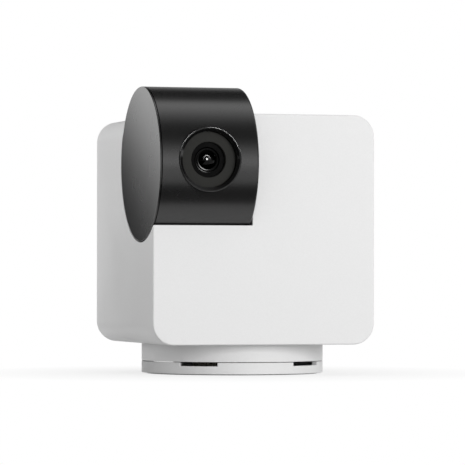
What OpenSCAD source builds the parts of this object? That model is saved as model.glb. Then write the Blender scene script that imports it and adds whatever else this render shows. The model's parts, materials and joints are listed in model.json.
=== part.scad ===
// Desk-top pan and tilt pet camera: a cube-shaped body turns on a round foot, and a drum-shaped
// camera head tilts in a pocket at the body's upper left front corner.
// Millimetres. +Z is up, the lens looks along -Y, and the origin is the middle of the foot's underside.

/* [Body] */
// Width of the cube-shaped body
body_w = 76; // [74:0.5:84]
// Depth of the body, from the front face to the rear face
body_d = 76; // [74:0.5:84]
// Height of the body
body_h = 76; // [74:0.5:84]
// Radius of the body's four long corners
corner_r = 7.2; // [5:0.1:9]
// Thickness of the body's walls
body_wall = 2.2; // [1.8:0.1:2.6]
// Thickness of the rear cover
cover_t = 2; // [1.8:0.1:3]

/* [Head] */
// Diameter of the drum-shaped head
head_d = 51; // [48:0.5:52]
// Length of the head, along the tilt axis
head_len = 33.4; // [32:0.2:35]
// How far the tilt axis lies behind the body's front face
head_setback = 16.1; // [15.5:0.1:18]
// How far the tilt axis lies below the body's top face
head_drop = 16.3; // [15.5:0.1:18]
// Running gap between the head and its pocket
head_gap = 0.45; // [0.3:0.05:0.7]
// Thickness of the head's wall
head_wall = 1.8; // [1.4:0.1:2.2]
// Thickness of the head's end cap
cap_t = 1.6; // [1.2:0.1:2.4]
// Thickness of the end cap's rim, which shows beside the groove
cap_rim = 0.5; // [0.4:0.1:1]
// Width of the shadow groove beside the end cap
cap_groove = 0.3; // [0.2:0.05:0.6]

/* [Lens] */
// Height of the lens over the tilt axis
lens_rise = 0.75; // [0:0.05:1]
// Outside diameter of the bezel ring round the lens window
bezel_d = 21; // [20:0.2:22]
// Width of the bezel's rim
bezel_rim = 1.25; // [1:0.05:1.6]
// How far the bezel stands proud of the head
bezel_proud = 0.2; // [0.1:0.05:0.6]
// Depth of the lens window below the bezel's rim
window_recess = 2.2; // [1.6:0.1:2.6]
// Thickness of the lens window
window_t = 1.2; // [1:0.1:1.6]
// Diameter of the lens hole in the window
window_hole_d = 11.6; // [11:0.1:12.4]
// Diameter of the lens barrel's nose
lens_nose_d = 8.3; // [7.5:0.1:9]
// Diameter of the front lens element
lens_glass_d = 6.4; // [5.6:0.1:6.8]
// Diameter of the lens barrel's threaded part
lens_thread_d = 12; // [11:0.1:12.2]
// Length of the lens barrel behind its nose
lens_len = 12; // [11:0.5:13]

/* [Foot and neck] */
// Diameter of the foot and of the neck above it
foot_d = 61.4; // [58:0.2:66]
// Height of the foot's rim
foot_h = 4.15; // [3.9:0.05:5]
// Gap at the seam between the foot and the neck
seam_gap = 0.2; // [0.15:0.05:0.5]
// Height of the neck, from the seam to the body
neck_h = 5.85; // [5.5:0.05:7]
// Thickness of the foot's floor
foot_floor = 2; // [1.8:0.1:2.4]
// Thickness of the foot's and the neck's side walls
foot_wall = 1.8; // [1.4:0.1:2.4]
// Height of the dark slots under the seam
slot_h = 1.2; // [0.8:0.05:1.4]
// Width of each slot, in degrees round the foot
slot_sweep = 26; // [18:1:34]
// Angle from the front or rear to the middle of a slot
slot_angle = 38.3; // [30:0.1:50]
// Thickness of the non-slip pad
pad_t = 1.2; // [1:0.1:1.5]
// How far the pad stands below the foot
pad_proud = 0.3; // [0.2:0.05:0.6]
// Width of the non-slip pad
pad_w = 5; // [4:0.1:6]
// Bore of the camera-screw insert, the minor diameter of a quarter-inch thread
insert_bore = 5.1; // [5:0.05:5.3]
// Outside diameter of the camera-screw insert
insert_d = 9; // [8:0.1:9.6]
// Length of the camera-screw insert
insert_len = 5.6; // [5:0.1:5.8]

/* [Drives] */
// Module of all the gears
gear_module = 0.7; // [0.65:0.01:0.72]
// Teeth of the fixed pan gear
pan_teeth = 36; // [34:2:38]
// Teeth of the tilt gear
tilt_teeth = 32; // [30:2:32]
// Teeth of both motor pinions
pinion_teeth = 12; // [12:1:13]
// Free play between meshing teeth
backlash = 0.16; // [0.1:0.02:0.24]
// Diameter of the pan spindle
spindle_d = 14; // [13:0.2:15]
// Diameter of the tilt hub
hub_d = 13; // [12:0.2:14]
// Bore of the tilt hub, for the head's cable
hub_bore = 7.6; // [6.6:0.2:8]
// Thickness of the tilt gear's toothed rim
tilt_gear_t = 3; // [2.6:0.1:3.4]
// Thickness of the pinions
pinion_t = 2.8; // [2.2:0.1:3]
// Diameter of the motors
motor_d = 20; // [18:0.5:20.5]
// Height of the motors
motor_h = 13; // [11:0.5:15]
// Diameter of the motor shafts
shaft_d = 2; // [1.6:0.1:2.4]
// Running clearance of shafts in their bores, on the radius
run_fit = 0.05; // [0.03:0.01:0.08]
// End play between turning faces
end_play = 0.1; // [0.05:0.05:0.2]

/* [Electronics] */
// Thickness of the circuit boards
board_t = 1.2; // [0.8:0.1:1.6]
// Height and depth of the main board
main_board_size = 58; // [50:1:60]
// Length of the posts that carry the main board
board_post = 6.8; // [6:0.1:8]
// Diameter of the loudspeaker
speaker_d = 28; // [24:0.5:30]
// Depth of the loudspeaker's basket
speaker_h = 5; // [4:0.5:6]
// Height of the speaker's middle above the body's floor
speaker_rise = 41; // [38:0.5:44]
// Diameter of the speaker grille
grille_d = 26; // [22:0.5:28]
// Diameter of a grille hole
grille_hole = 1.4; // [1:0.1:1.6]
// Spacing of the grille holes
grille_pitch = 2.8; // [2.6:0.1:3.4]
// Width of the power socket's mouth
usb_w = 9; // [8.6:0.1:9.4]
// Height of the power socket's mouth
usb_h = 3.3; // [3.1:0.1:3.6]
// Diameter of the reset button
button_d = 3.2; // [2.8:0.1:4]
// Travel of the reset button
button_travel = 0.5; // [0.3:0.05:0.7]

/* [Hidden] */
$fn = 96;
// Small clearance of a piece that is seated in another, on the radius
seat = 0.05;
// Overshoot of a cutting solid
over = 1;
// Angle at which gear teeth push on each other
pressure_angle = 25;
// Depth of a tooth below the pitch circle, in modules
dedendum = 1.25;
// Points along each flank of a tooth
flank_steps = 3;
// Extra distance between the middles of two meshing gears
mesh_slack = 0.1;

// Screws: diameters of the thread and the head, height of the head, and the room round it in a recess
screw_d = 1.5;
screw_head_d = 3;
screw_head_h = 1;
screw_hole_d = screw_d + 2 * seat;
screw_head_room = 0.2;
screw_recess_d = screw_head_d + 2 * screw_head_room;
// Thread held by the piece below, and room left beyond the screw's tip
screw_bite = 3;
screw_tip = 0.4;

// Heights from the ground up
foot_z = pad_proud;
foot_top = foot_z + foot_floor;
neck_z = foot_h + seam_gap;
body_z = neck_z + neck_h;
body_top = body_z + body_h;
floor_top = body_z + body_wall;
body_mid_z = body_z + body_h / 2;
front_y = -body_d / 2;
rear_y = body_d / 2;
cover_y = rear_y - cover_t;
cover_gap = 0.15;

// Tilt axis and the pocket round the head
head_r = head_d / 2;
head_y = front_y + head_setback;
head_z = body_top - head_drop;
head_x0 = -body_w / 2;
head_x1 = head_x0 + head_len;
lens_x = (head_x0 + head_x1) / 2;
lens_z = head_z + lens_rise;
pocket_r = head_r + head_gap;
pocket_x1 = head_x1 + head_gap;
pocket_wall_x = pocket_x1 + body_wall;
cap_x = head_x0 + cap_rim;
cap_in_x = head_x0 + cap_t;
shell_x0 = cap_x + cap_groove;
head_inner_r = head_r - head_wall;
head_edge = 0.5;

// Stack of the pan bearing, upwards from the foot's floor
neck_floor = 2.2;
neck_floor_z = body_z - neck_floor;
washer_t = 0.5;
pan_gear_top = neck_floor_z - end_play - washer_t;
spindle_top = body_z + end_play;
retainer_t = 1.6;
retainer_lip = 3.5;
retainer_room = 1;
retainer_d = spindle_d + 2 * retainer_lip;
floor_hole_d = retainer_d + 2 * retainer_room;
neck_screw_inset = 3.9;

// Gear sizes and the places of the motors
pan_pitch_r = gear_module * pan_teeth / 2;
tilt_pitch_r = gear_module * tilt_teeth / 2;
pinion_pitch_r = gear_module * pinion_teeth / 2;
pan_centre = pan_pitch_r + pinion_pitch_r + mesh_slack;
tilt_centre = tilt_pitch_r + pinion_pitch_r + mesh_slack;
pan_motor_dir = 225;
pan_ear_dir = 155;
tilt_motor_dir = -45;
tilt_ear_dir = 45;
pan_motor_x = pan_centre * cos(pan_motor_dir);
pan_motor_y = pan_centre * sin(pan_motor_dir);
tilt_motor_y = head_y + tilt_centre * cos(tilt_motor_dir);
tilt_motor_z = head_z + tilt_centre * sin(tilt_motor_dir);
ear_step = 3.5;
ear_reach = motor_d / 2 + ear_step;
ear_t = 0.8;
ear_w = 5;
pilot_d = 6;
pilot_h = 1;
shaft_grip = 4;
pan_pinion_z = pan_gear_top - 2 * end_play - pinion_t;

// Stack of the tilt bearing, to the right from the pocket's wall
bushing_t = 1.65;
bushing_flange = 0.8;
bushing_d = hub_d + 2 * run_fit + 2 * bushing_t;
tilt_gear_x = pocket_wall_x + bushing_flange + 2 * end_play;
hub_end_x = tilt_gear_x + tilt_gear_t;
tilt_web = 1.2;
tilt_web_x = hub_end_x + tilt_web;
tilt_motor_room = 0.8;
tilt_motor_x = tilt_web_x + screw_head_h + tilt_motor_room;
tilt_screw_r = (hub_d + hub_bore) / 4;
tilt_pinion_x = tilt_gear_x + end_play;

// Lens stack, along -Y from the tilt axis
bezel_y = head_y - head_r - bezel_proud;
bezel_r = bezel_d / 2;
window_y = bezel_y + window_recess;
window_back_y = window_y + window_t;
window_r = bezel_r - bezel_rim - seat;
bezel_ledge = 0.8;
bezel_back_y = window_back_y + bezel_ledge;
collar_wall = 1.4;
collar_r = bezel_r + seat + collar_wall;
collar_ledge = 1;
collar_back_y = bezel_back_y + collar_ledge;
led_r = (window_hole_d / 2 + bezel_r - bezel_rim) / 2;
led_size = 1.9;
led_h = 1;
led_count = 8;
led_board_room = 0.3;
led_board_in = lens_thread_d / 2 + led_board_room;
nose_recess = 1.2;
nose_y = window_y + nose_recess;
nose_len = 2.2;
glass_depth = 3;
thread_y = nose_y + nose_len;
lens_back_y = thread_y + lens_len;
holder_w = 16;
holder_len = 7;
focus_gap = 1.2;
sensor_y = lens_back_y + focus_gap;
sensor_board_w = 26;
sensor_post = 10.4;
sensor_post_d = 3.6;
shade_t = 1;

// Screw bosses of the rear cover
boss_d = 6.4;
boss_len = 10;
cover_screw_bite = 7;
boss_sink = 0.6;
boss_inset = body_wall + boss_d / 2 - boss_sink;
boss_x = body_w / 2 - boss_inset;
boss_z = [body_z + boss_inset, body_top - boss_inset];

// Electronics in the body
board_edge = 4;
main_sink = 2;
board_gap = 1.5;
shield_w = 20;
shield_h = 2.4;
side_x = body_w / 2 - body_wall;
main_x = side_x - board_post - board_t;
main_y = (front_y + body_wall + cover_y) / 2;
main_z = body_mid_z - main_sink;
main_hole = main_board_size / 2 - board_edge;
power_post = 3.6;
power_w = 30;
power_d = 20.7;
power_setback = 0.8;
power_hole_edge = 3;
power_hole_step = 7.7;
power_z = floor_top + power_post;
power_y1 = cover_y - power_setback;
power_y0 = power_y1 - power_d;
power_hole_x = power_w / 2 - power_hole_edge;
power_hole_y0 = power_y0 + power_hole_edge;
power_hole_y1 = power_hole_y0 + power_hole_step;
usb_z = power_z + board_t + usb_h / 2;
usb_len = 7.4;
usb_skin = 0.3;
usb_room = 0.35;
button_room = 0.15;
button_x = 10;
button_rise = 1.1;
button_flange = 0.8;
button_z = power_z + board_t + button_d / 2 + button_rise;
switch_setback = 5.2;
switch_y = cover_y - switch_setback;
switch_key = 0.2;
speaker_z = floor_top + speaker_rise;
strip = [34, 7, 0.8];
strip_setback = 5.5;
strip_y = cover_y - strip_setback;
connector_w = 4;
connector_l = 8;
connector_step = main_hole - (connector_l + screw_head_d) / 2 - board_gap;
mic_hole_d = 1.2;
mic_h = 1.1;
gasket_t = 1;
basket_skin = 0.8;
cone_room = 2;
cone_skin = 0.5;
cone_fold = 1.2;
magnet_h = 4;
grille_t = 1.2;
grille_ledge = 1.5;

// Leads: diameters, sides, steps along a bend, straight share and reach of each end, and a way none follows
head_cable_d = 3;
lead_d = 1.4;
lead_sides = 8;
lead_steps = 12;
lead_straight = 0.15;
short_reach = 5;
long_reach = 9;
bend_room = 5.8;
lead_up = [0.3, 0.5, 0.81];

// Every separate piece

// A solid that stands along +X from x, round the line through y and z
module along_x(x, y, z) {
  translate([x, y, z]) rotate([0, 90, 0]) children();
}

// A solid that stands along +Y from y, round the line through x and z
module along_y(x, y, z) {
  translate([x, y, z]) rotate([-90, 0, 0]) children();
}

// A flat outline in the X-Z plane, made thick from y0 to y1
module thick_y(y0, y1) {
  translate([0, y1, 0]) rotate([90, 0, 0]) linear_extrude(height = y1 - y0) children();
}

// A rectangle with round corners, about the origin
module round_rect(w, h, r) {
  square([w - 2 * r, h], center = true);
  square([w, h - 2 * r], center = true);
  for (x = [-1, 1], y = [-1, 1]) translate([x * (w / 2 - r), y * (h / 2 - r)]) circle(r);
}

// The body's outline, taken in by inset, from y0 to y1
module body_block(inset, y0, y1) {
  thick_y(y0, y1) translate([0, body_mid_z])
    round_rect(body_w - 2 * inset, body_h - 2 * inset, corner_r - inset);
}

// A round ring that stands on z = 0
module ring(d_out, d_in, h) {
  difference() {
    cylinder(d = d_out, h = h);
    translate([0, 0, -over]) cylinder(d = d_in, h = h + 2 * over);
  }
}

// A pan-head screw: the head stands on z = 0 and the thread hangs below
module screw(len) {
  cross_w = screw_head_d / 8;
  cross_l = screw_head_d * 0.62;
  difference() {
    union() {
      cylinder(d = screw_head_d, h = screw_head_h);
      translate([0, 0, -len]) cylinder(d = screw_d, h = len + screw_head_h / 2);
    }
    for (a = [0, 90]) rotate(a) translate([0, 0, screw_head_h])
      cube([cross_l, cross_w, screw_head_h], center = true);
  }
}

// The hole for a screw's thread: it goes down by depth from z = 0, and a little above
module screw_hole(depth) {
  translate([0, 0, -depth]) cylinder(d = screw_hole_d, h = depth + over);
}

// A plain round hole from z = 0 up through a wall, a little past both faces
module through_hole(d, wall) {
  translate([0, 0, -over]) cylinder(d = d, h = wall + 2 * over);
}

// Involute function, in degrees
function involute(a) = tan(a) * 180 / PI - a;

// Half the angle that a tooth takes up at radius r
function half_tooth(r, pitch_r, base_r, teeth) =
  90 / teeth - backlash / 4 / pitch_r * 180 / PI + involute(pressure_angle)
  - involute(acos(min(1, base_r / r)));

// Outline of a spur gear, with a tooth on +X
module gear_outline(teeth) {
  pitch_r = gear_module * teeth / 2;
  base_r = pitch_r * cos(pressure_angle);
  root_r = pitch_r - dedendum * gear_module;
  tip_r = pitch_r + gear_module;
  radii = [for (k = [0 : flank_steps]) root_r + (tip_r - root_r) * k / flank_steps];
  polygon([for (i = [0 : teeth - 1], side = [-1, 1], k = [0 : flank_steps])
    let (r = radii[side < 0 ? k : flank_steps - k])
    let (a = i * 360 / teeth + side * half_tooth(r, pitch_r, base_r, teeth))
    [r * cos(a), r * sin(a)]]);
}

// Point at t on the curve that leaves a towards b and arrives at d from c
function bend(a, b, c, d, t) =
  a * pow(1 - t, 3) + b * 3 * t * pow(1 - t, 2) + c * 3 * t * t * (1 - t) + d * pow(t, 3);

// Points of a lead that leaves a along a_way and arrives at d against d_way, straight at both ends
function lead_route(a, a_way, d, d_way) = concat(
  [a],
  [for (k = [0 : lead_steps])
    bend(a + a_way * lead_straight, a + a_way, d + d_way, d + d_way * lead_straight, k / lead_steps)],
  [d]
);

// A round lead that runs through the points
module lead(points, d) {
  last = len(points) - 1;
  ways = [for (i = [0 : last]) points[min(last, i + 1)] - points[max(0, i - 1)]];
  rings = [for (i = [0 : last])
    let (way = ways[i] / norm(ways[i]))
    let (side = cross(way, lead_up) / norm(cross(way, lead_up)))
    let (top = cross(side, way))
    [for (k = [0 : lead_sides - 1])
      points[i] + d / 2 * (cos(k * 360 / lead_sides) * side + sin(k * 360 / lead_sides) * top)]];
  polyhedron(
    points = [for (r = rings, p = r) p],
    faces = concat(
      [[for (k = [0 : lead_sides - 1]) k]],
      [[for (k = [lead_sides - 1 : -1 : 0]) last * lead_sides + k]],
      [for (i = [0 : last - 1], k = [0 : lead_sides - 1], half = [0, 1])
        let (a = i * lead_sides + k)
        let (b = i * lead_sides + (k + 1) % lead_sides)
        half == 0 ? [b, a, a + lead_sides] : [b, a + lead_sides, b + lead_sides]]
    )
  );
}

// Places copies round the Z axis
module around(count, r, start = 0) {
  for (i = [0 : count - 1]) rotate(start + i * 360 / count) translate([r, 0, 0]) children();
}

// A stepper motor with two ears: it stands on z = 0, its pilot below, and its shaft bore on the axis
module motor(ear_dir) {
  difference() {
    union() {
      cylinder(d = motor_d, h = motor_h);
      translate([0, 0, -pilot_h]) cylinder(d = pilot_d, h = pilot_h + 1);
      rotate(ear_dir) linear_extrude(height = ear_t) {
        square([2 * ear_reach, ear_w], center = true);
        for (s = [-1, 1]) translate([s * ear_reach, 0]) circle(d = ear_w);
      }
    }
    at_ears(ear_dir) through_hole(screw_hole_d, ear_t);
    translate([0, 0, -pilot_h]) through_hole(shaft_d + 2 * run_fit, pilot_h + shaft_grip);
  }
}

// Copies at a motor's two ears
module at_ears(ear_dir) {
  rotate(ear_dir) for (s = [-1, 1]) translate([s * ear_reach, 0, 0]) children();
}

// Places a piece on the tilt motor's axis, with +Z along +X and the ears turned to their direction
module at_tilt_motor(x) {
  along_x(x, tilt_motor_y, tilt_motor_z) children();
}

// Turn of a piece about its own +Z that brings its +X to an angle in the Y-Z plane
function turn_x(a) = a + 90;

// The foot, which stays still

module foot_shell() {
  pad_r = foot_d / 2 - foot_wall;
  rim_r = foot_d / 2;
  edge = 0.4;
  color("whitesmoke") difference() {
    rotate_extrude() polygon([
      [insert_d / 2 + seat, foot_z],
      [pad_r - pad_w - seat, foot_z],
      [pad_r - pad_w - seat, pad_t],
      [pad_r + seat, pad_t],
      [pad_r + seat, foot_z],
      [rim_r - edge, foot_z],
      [rim_r, foot_z + edge],
      [rim_r, foot_h],
      [rim_r - foot_wall, foot_h],
      [rim_r - foot_wall, foot_top],
      [spindle_d / 2, foot_top],
      [spindle_d / 2, spindle_top],
      [0, spindle_top],
      [0, foot_z + insert_len],
      [insert_d / 2 + seat, foot_z + insert_len]
    ]);
    for (side = [0, 180], s = [-1, 1]) rotate(side - 90 + s * slot_angle)
      translate([0, 0, foot_h - slot_h]) rotate(-slot_sweep / 2)
        rotate_extrude(angle = slot_sweep) translate([rim_r - foot_wall - over, 0])
          square([foot_wall + 2 * over, slot_h + over]);
    around(3, pan_screw_r()) {
      translate([0, 0, foot_z - over]) cylinder(d = screw_recess_d, h = screw_head_h + over);
      translate([0, 0, foot_z]) through_hole(screw_hole_d, foot_floor);
    }
    around(3, retainer_screw_r(), 60) translate([0, 0, spindle_top]) screw_hole(screw_bite + screw_tip);
  }
}

// Circle of the screws that hold the pan gear, midway between the spindle and the teeth's roots
function pan_screw_r() = (spindle_d / 2 + pan_pitch_r - dedendum * gear_module) / 2;
function pan_screw_bite() = min(screw_bite, pan_gear_top - foot_top - 2 * screw_tip);

// Circle of the screws that hold the spindle's retainer
function retainer_screw_r() = spindle_d / 2 - screw_head_d;

module nonslip_pad() {
  pad_r = foot_d / 2 - foot_wall;
  color("lightgray") ring(2 * pad_r, 2 * (pad_r - pad_w), pad_t);
}

module tripod_insert() {
  color("gold") translate([0, 0, foot_z]) ring(insert_d, insert_bore, insert_len);
}

module pan_gear() {
  color("ivory") difference() {
    translate([0, 0, foot_top]) rotate(pan_motor_dir)
      linear_extrude(height = pan_gear_top - foot_top) gear_outline(pan_teeth);
    cylinder(d = spindle_d + 2 * seat, h = body_z);
    around(3, pan_screw_r()) cylinder(d = screw_hole_d, h = foot_top + pan_screw_bite() + screw_tip);
  }
}

module thrust_washer() {
  color("lightyellow") translate([0, 0, pan_gear_top])
    ring(2 * (pan_pitch_r - dedendum * gear_module - 0.5), spindle_d + 4 * seat, washer_t);
}

module spindle_retainer() {
  color("silver") difference() {
    translate([0, 0, spindle_top]) cylinder(d = retainer_d, h = retainer_t);
    around(3, retainer_screw_r(), 60) translate([0, 0, spindle_top]) through_hole(screw_hole_d, retainer_t);
  }
}

module gear_screws() {
  color("gray") around(3, pan_screw_r()) translate([0, 0, foot_z + screw_head_h])
    rotate([180, 0, 0]) screw(foot_floor - screw_head_h + pan_screw_bite());
}

module retainer_screws() {
  color("gray") around(3, retainer_screw_r(), 60) translate([0, 0, spindle_top + retainer_t])
    screw(retainer_t + screw_bite);
}

// The body, which pans

module pocket() {
  along_x(head_x0 - over, head_y, head_z) cylinder(r = pocket_r, h = pocket_x1 - head_x0 + over);
}

module neck_screw_places() {
  around(4, foot_d / 2 - foot_wall - neck_screw_inset) children();
}

module power_posts() {
  for (x = [-power_hole_x, power_hole_x], y = [power_hole_y0, power_hole_y1])
    translate([x, y, 0]) children();
}

module main_posts() {
  for (y = [-main_hole, main_hole], z = [-main_hole, main_hole])
    translate([0, main_y + y, main_z + z]) rotate([0, 90, 0]) children();
}

module body_shell() {
  post_d = 4.4;
  color("white") difference() {
    union() {
      difference() {
        body_block(0, front_y, rear_y);
        body_block(body_wall, front_y + body_wall, rear_y + over);
      }
      intersection() {
        body_block(body_wall / 2, front_y + body_wall / 2, rear_y);
        along_x(head_x0, head_y, head_z) cylinder(r = pocket_r + body_wall, h = pocket_wall_x - head_x0);
      }
      for (x = [-boss_x, boss_x], z = boss_z)
        along_y(x, cover_y - boss_len, z) cylinder(d = boss_d, h = boss_len);
      at_tilt_motor(pocket_wall_x - body_wall / 2) at_ears(turn_x(tilt_ear_dir))
        cylinder(d = ear_w, h = tilt_motor_x - pocket_wall_x + body_wall / 2);
      power_posts() translate([0, 0, body_z + body_wall / 2])
        cylinder(d = post_d, h = power_z - body_z - body_wall / 2);
      translate([side_x - board_post, 0, 0]) main_posts()
        cylinder(d = post_d, h = board_post + body_wall / 2);
    }
    pocket();
    along_x(pocket_x1 - over, head_y, head_z) cylinder(d = bushing_d + 2 * seat, h = body_wall + 2 * over);
    for (x = [-boss_x, boss_x], z = boss_z)
      along_y(x, cover_y, z) screw_hole(cover_screw_bite + screw_tip);
    at_tilt_motor(tilt_motor_x) at_ears(turn_x(tilt_ear_dir)) screw_hole(screw_bite + screw_tip);
    power_posts() translate([0, 0, power_z]) screw_hole(screw_bite + screw_tip);
    translate([side_x - board_post, 0, 0]) main_posts() rotate([180, 0, 0])
      screw_hole(screw_bite + screw_tip);
    translate([0, 0, body_z]) {
      through_hole(floor_hole_d, body_wall);
      neck_screw_places() through_hole(screw_hole_d, body_wall);
      translate([pan_motor_x, pan_motor_y, 0]) {
        through_hole(pilot_d + 4 * run_fit, body_wall);
        at_ears(pan_ear_dir) through_hole(screw_hole_d, body_wall);
      }
    }
    along_x(side_x, mic_y(), mic_z()) through_hole(mic_hole_d, body_wall);
  }
}

// Place of the microphone on the main board
function mic_y() = main_y - main_hole + 2 * board_edge;
function mic_z() = main_z - main_hole + 2 * board_edge;

module rear_cover() {
  cup_t = 1.2;
  cup_h = gasket_t + speaker_h - 1;
  color("white") difference() {
    union() {
      body_block(body_wall + cover_gap, cover_y, rear_y);
      along_y(0, cover_y - cup_h, speaker_z)
        cylinder(d = speaker_d + 2 * seat + 2 * cup_t, h = cup_h + cover_t / 2);
    }
    along_y(0, cover_y - cup_h - over, speaker_z) cylinder(d = speaker_d + 2 * seat, h = cup_h + over);
    along_y(0, cover_y, speaker_z) through_hole(grille_d - 2 * grille_ledge, cover_t);
    along_y(0, rear_y - grille_t, speaker_z) cylinder(d = grille_d + 2 * seat, h = grille_t + over);
    translate([0, 0, usb_z]) usb_outline(usb_room, cover_y - over, rear_y + over);
    along_y(button_x, cover_y, button_z) through_hole(button_d + 2 * button_room, cover_t);
    for (x = [-boss_x, boss_x], z = boss_z) {
      along_y(x, cover_y, z) through_hole(screw_hole_d, cover_t);
      along_y(x, rear_y - screw_head_h, z) cylinder(d = screw_recess_d, h = screw_head_h + over);
    }
  }
}

// The power socket's rounded mouth about z = 0, grown by grow, from y0 to y1
module usb_outline(grow, y0, y1) {
  thick_y(y0, y1) {
    square([usb_w - usb_h, usb_h + 2 * grow], center = true);
    for (s = [-1, 1]) translate([s * (usb_w - usb_h) / 2, 0]) circle(d = usb_h + 2 * grow);
  }
}

module neck_skirt() {
  rim_r = foot_d / 2;
  color("white") difference() {
    rotate_extrude() polygon([
      [spindle_d / 2 + run_fit, neck_floor_z],
      [rim_r - foot_wall, neck_floor_z],
      [rim_r - foot_wall, neck_z],
      [rim_r, neck_z],
      [rim_r, body_z],
      [spindle_d / 2 + run_fit, body_z]
    ]);
    translate([0, 0, neck_floor_z]) {
      neck_screw_places() through_hole(screw_hole_d, neck_floor);
      translate([pan_motor_x, pan_motor_y, 0]) through_hole(2 * shaft_d, neck_floor);
    }
  }
}

module speaker_grille() {
  rows = ceil(grille_d / 2 / grille_pitch);
  color("lightgray") along_y(0, rear_y - grille_t, speaker_z) difference() {
    cylinder(d = grille_d, h = grille_t);
    for (i = [-rows : rows], j = [-rows : rows])
      let (x = (i + j / 2) * grille_pitch)
      let (y = j * grille_pitch * sqrt(3) / 2)
      if (norm([x, y]) < grille_d / 2 - grille_ledge - grille_hole)
        translate([x, y, 0]) through_hole(grille_hole, grille_t);
  }
}

module neck_screws() {
  color("gray") neck_screw_places() translate([0, 0, floor_top]) screw(body_wall + neck_floor - screw_tip);
}

module cover_screws() {
  color("gray") for (x = [-boss_x, boss_x], z = boss_z)
    along_y(x, rear_y - screw_head_h, z) screw(cover_t - screw_head_h + cover_screw_bite);
}

module pan_motor() {
  color("silver") translate([pan_motor_x, pan_motor_y, floor_top]) motor(pan_ear_dir);
}

module pan_motor_screws() {
  color("gray") translate([pan_motor_x, pan_motor_y, floor_top + ear_t]) at_ears(pan_ear_dir)
    screw(ear_t + body_wall - screw_tip);
}

module tilt_motor() {
  color("silver") at_tilt_motor(tilt_motor_x) motor(turn_x(tilt_ear_dir));
}

module tilt_motor_screws() {
  color("gray") at_tilt_motor(tilt_motor_x + ear_t) at_ears(turn_x(tilt_ear_dir)) screw(ear_t + screw_bite);
}

module tilt_bushing() {
  color("ivory") along_x(pocket_x1, head_y, head_z) difference() {
    union() {
      cylinder(d = bushing_d, h = body_wall + bushing_flange);
      translate([0, 0, body_wall]) cylinder(d = bushing_d + 3, h = bushing_flange);
    }
    through_hole(hub_d + 2 * run_fit, body_wall + bushing_flange);
  }
}

module main_board() {
  color("darkgreen") difference() {
    translate([main_x, main_y - main_board_size / 2, main_z - main_board_size / 2])
      cube([board_t, main_board_size, main_board_size]);
    translate([main_x, 0, 0]) main_posts() through_hole(screw_hole_d, board_t);
  }
}

module board_screws() {
  color("gray") translate([main_x, 0, 0]) main_posts() rotate([180, 0, 0]) screw(board_t + screw_bite);
}

module processor_shield() {
  shield_z = plug_in(0, -1).z + connector_w / 2 + board_gap;
  color("lightgray") translate([main_x - shield_h, main_y - shield_w / 2, shield_z])
    cube([shield_h, shield_w, shield_w]);
}

// Middle of a connector's inner face: columns -1 to 1 from front to rear, row -1 at the bottom, 1 at the top
function plug_in(column, row) =
  [main_x - connector_w, main_y + column * connector_step, main_z + row * main_hole];

module board_connectors() {
  color("beige") for (column = [-1, 0, 1], row = [-1, 1])
    translate(plug_in(column, row) - [0, connector_l / 2, connector_w / 2])
      cube([connector_w, connector_l, connector_w]);
}

module antenna_strip() {
  color("black") translate([-strip.x / 2, strip_y - strip.y / 2, body_top - body_wall - strip.z])
    cube(strip);
}

module microphone() {
  mic = [mic_h, 3.8, 3];
  color("silver") translate([main_x + board_t, mic_y() - mic.y / 2, mic_z() - mic.z / 2]) cube(mic);
}

module microphone_boot() {
  boot_d = 5;
  color("dimgray") along_x(main_x + board_t + mic_h, mic_y(), mic_z())
    ring(boot_d, mic_hole_d, board_post - mic_h);
}

module power_board() {
  color("darkgreen") difference() {
    translate([-power_w / 2, power_y0, power_z]) cube([power_w, power_y1 - power_y0, board_t]);
    power_posts() translate([0, 0, power_z]) through_hole(screw_hole_d, board_t);
  }
}

module power_screws() {
  color("gray") power_posts() translate([0, 0, power_z + board_t]) screw(board_t + screw_bite);
}

module usb_socket() {
  back = 1;
  tongue = [usb_w - 3.2, usb_len - back, 0.7];
  mouth_y = cover_y - end_play;
  color("silver") translate([0, 0, usb_z]) {
    difference() {
      usb_outline(0, mouth_y - usb_len, mouth_y);
      usb_outline(-usb_skin, mouth_y - usb_len + back, mouth_y + over);
    }
    translate([-tongue.x / 2, mouth_y - usb_len + back / 2, -tongue.z / 2]) cube(tongue);
  }
}

module reset_switch() {
  case = [4, 3, button_z - power_z - board_t + 1.7];
  color("black") {
    translate([button_x - case.x / 2, switch_y - case.y, power_z + board_t]) cube(case);
    along_y(button_x, switch_y - case.y / 2, button_z) cylinder(d = 1.8, h = case.y / 2 + switch_key);
  }
}

module speaker_gasket() {
  color("dimgray") along_y(0, cover_y - gasket_t, speaker_z) ring(speaker_d, speaker_d - 4, gasket_t);
}

module speaker_basket() {
  color("black") along_y(0, cover_y - gasket_t - speaker_h, speaker_z) difference() {
    cylinder(d = speaker_d, h = speaker_h);
    translate([0, 0, basket_skin]) cylinder(d = speaker_d - 2 * basket_skin, h = speaker_h);
    through_hole(speaker_d / 3, basket_skin);
  }
}

module speaker_cone() {
  rim = speaker_d / 2 - basket_skin - seat;
  neck = speaker_d / 6;
  deep = speaker_h - cone_room;
  color("dimgray") along_y(0, cover_y - gasket_t, speaker_z) rotate_extrude() polygon([
    [0, -deep], [neck, -deep], [rim - cone_fold, -cone_skin], [rim, -cone_skin],
    [rim, -2 * cone_skin], [rim - cone_fold, -2 * cone_skin],
    [neck, -deep - cone_skin], [0, -deep - cone_skin]
  ]);
}

module speaker_magnet() {
  magnet_d = speaker_d * 0.62;
  color("gray") along_y(0, cover_y - gasket_t - speaker_h - magnet_h, speaker_z)
    cylinder(d = magnet_d, h = magnet_h);
}

// Motor shafts and pinions

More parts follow.
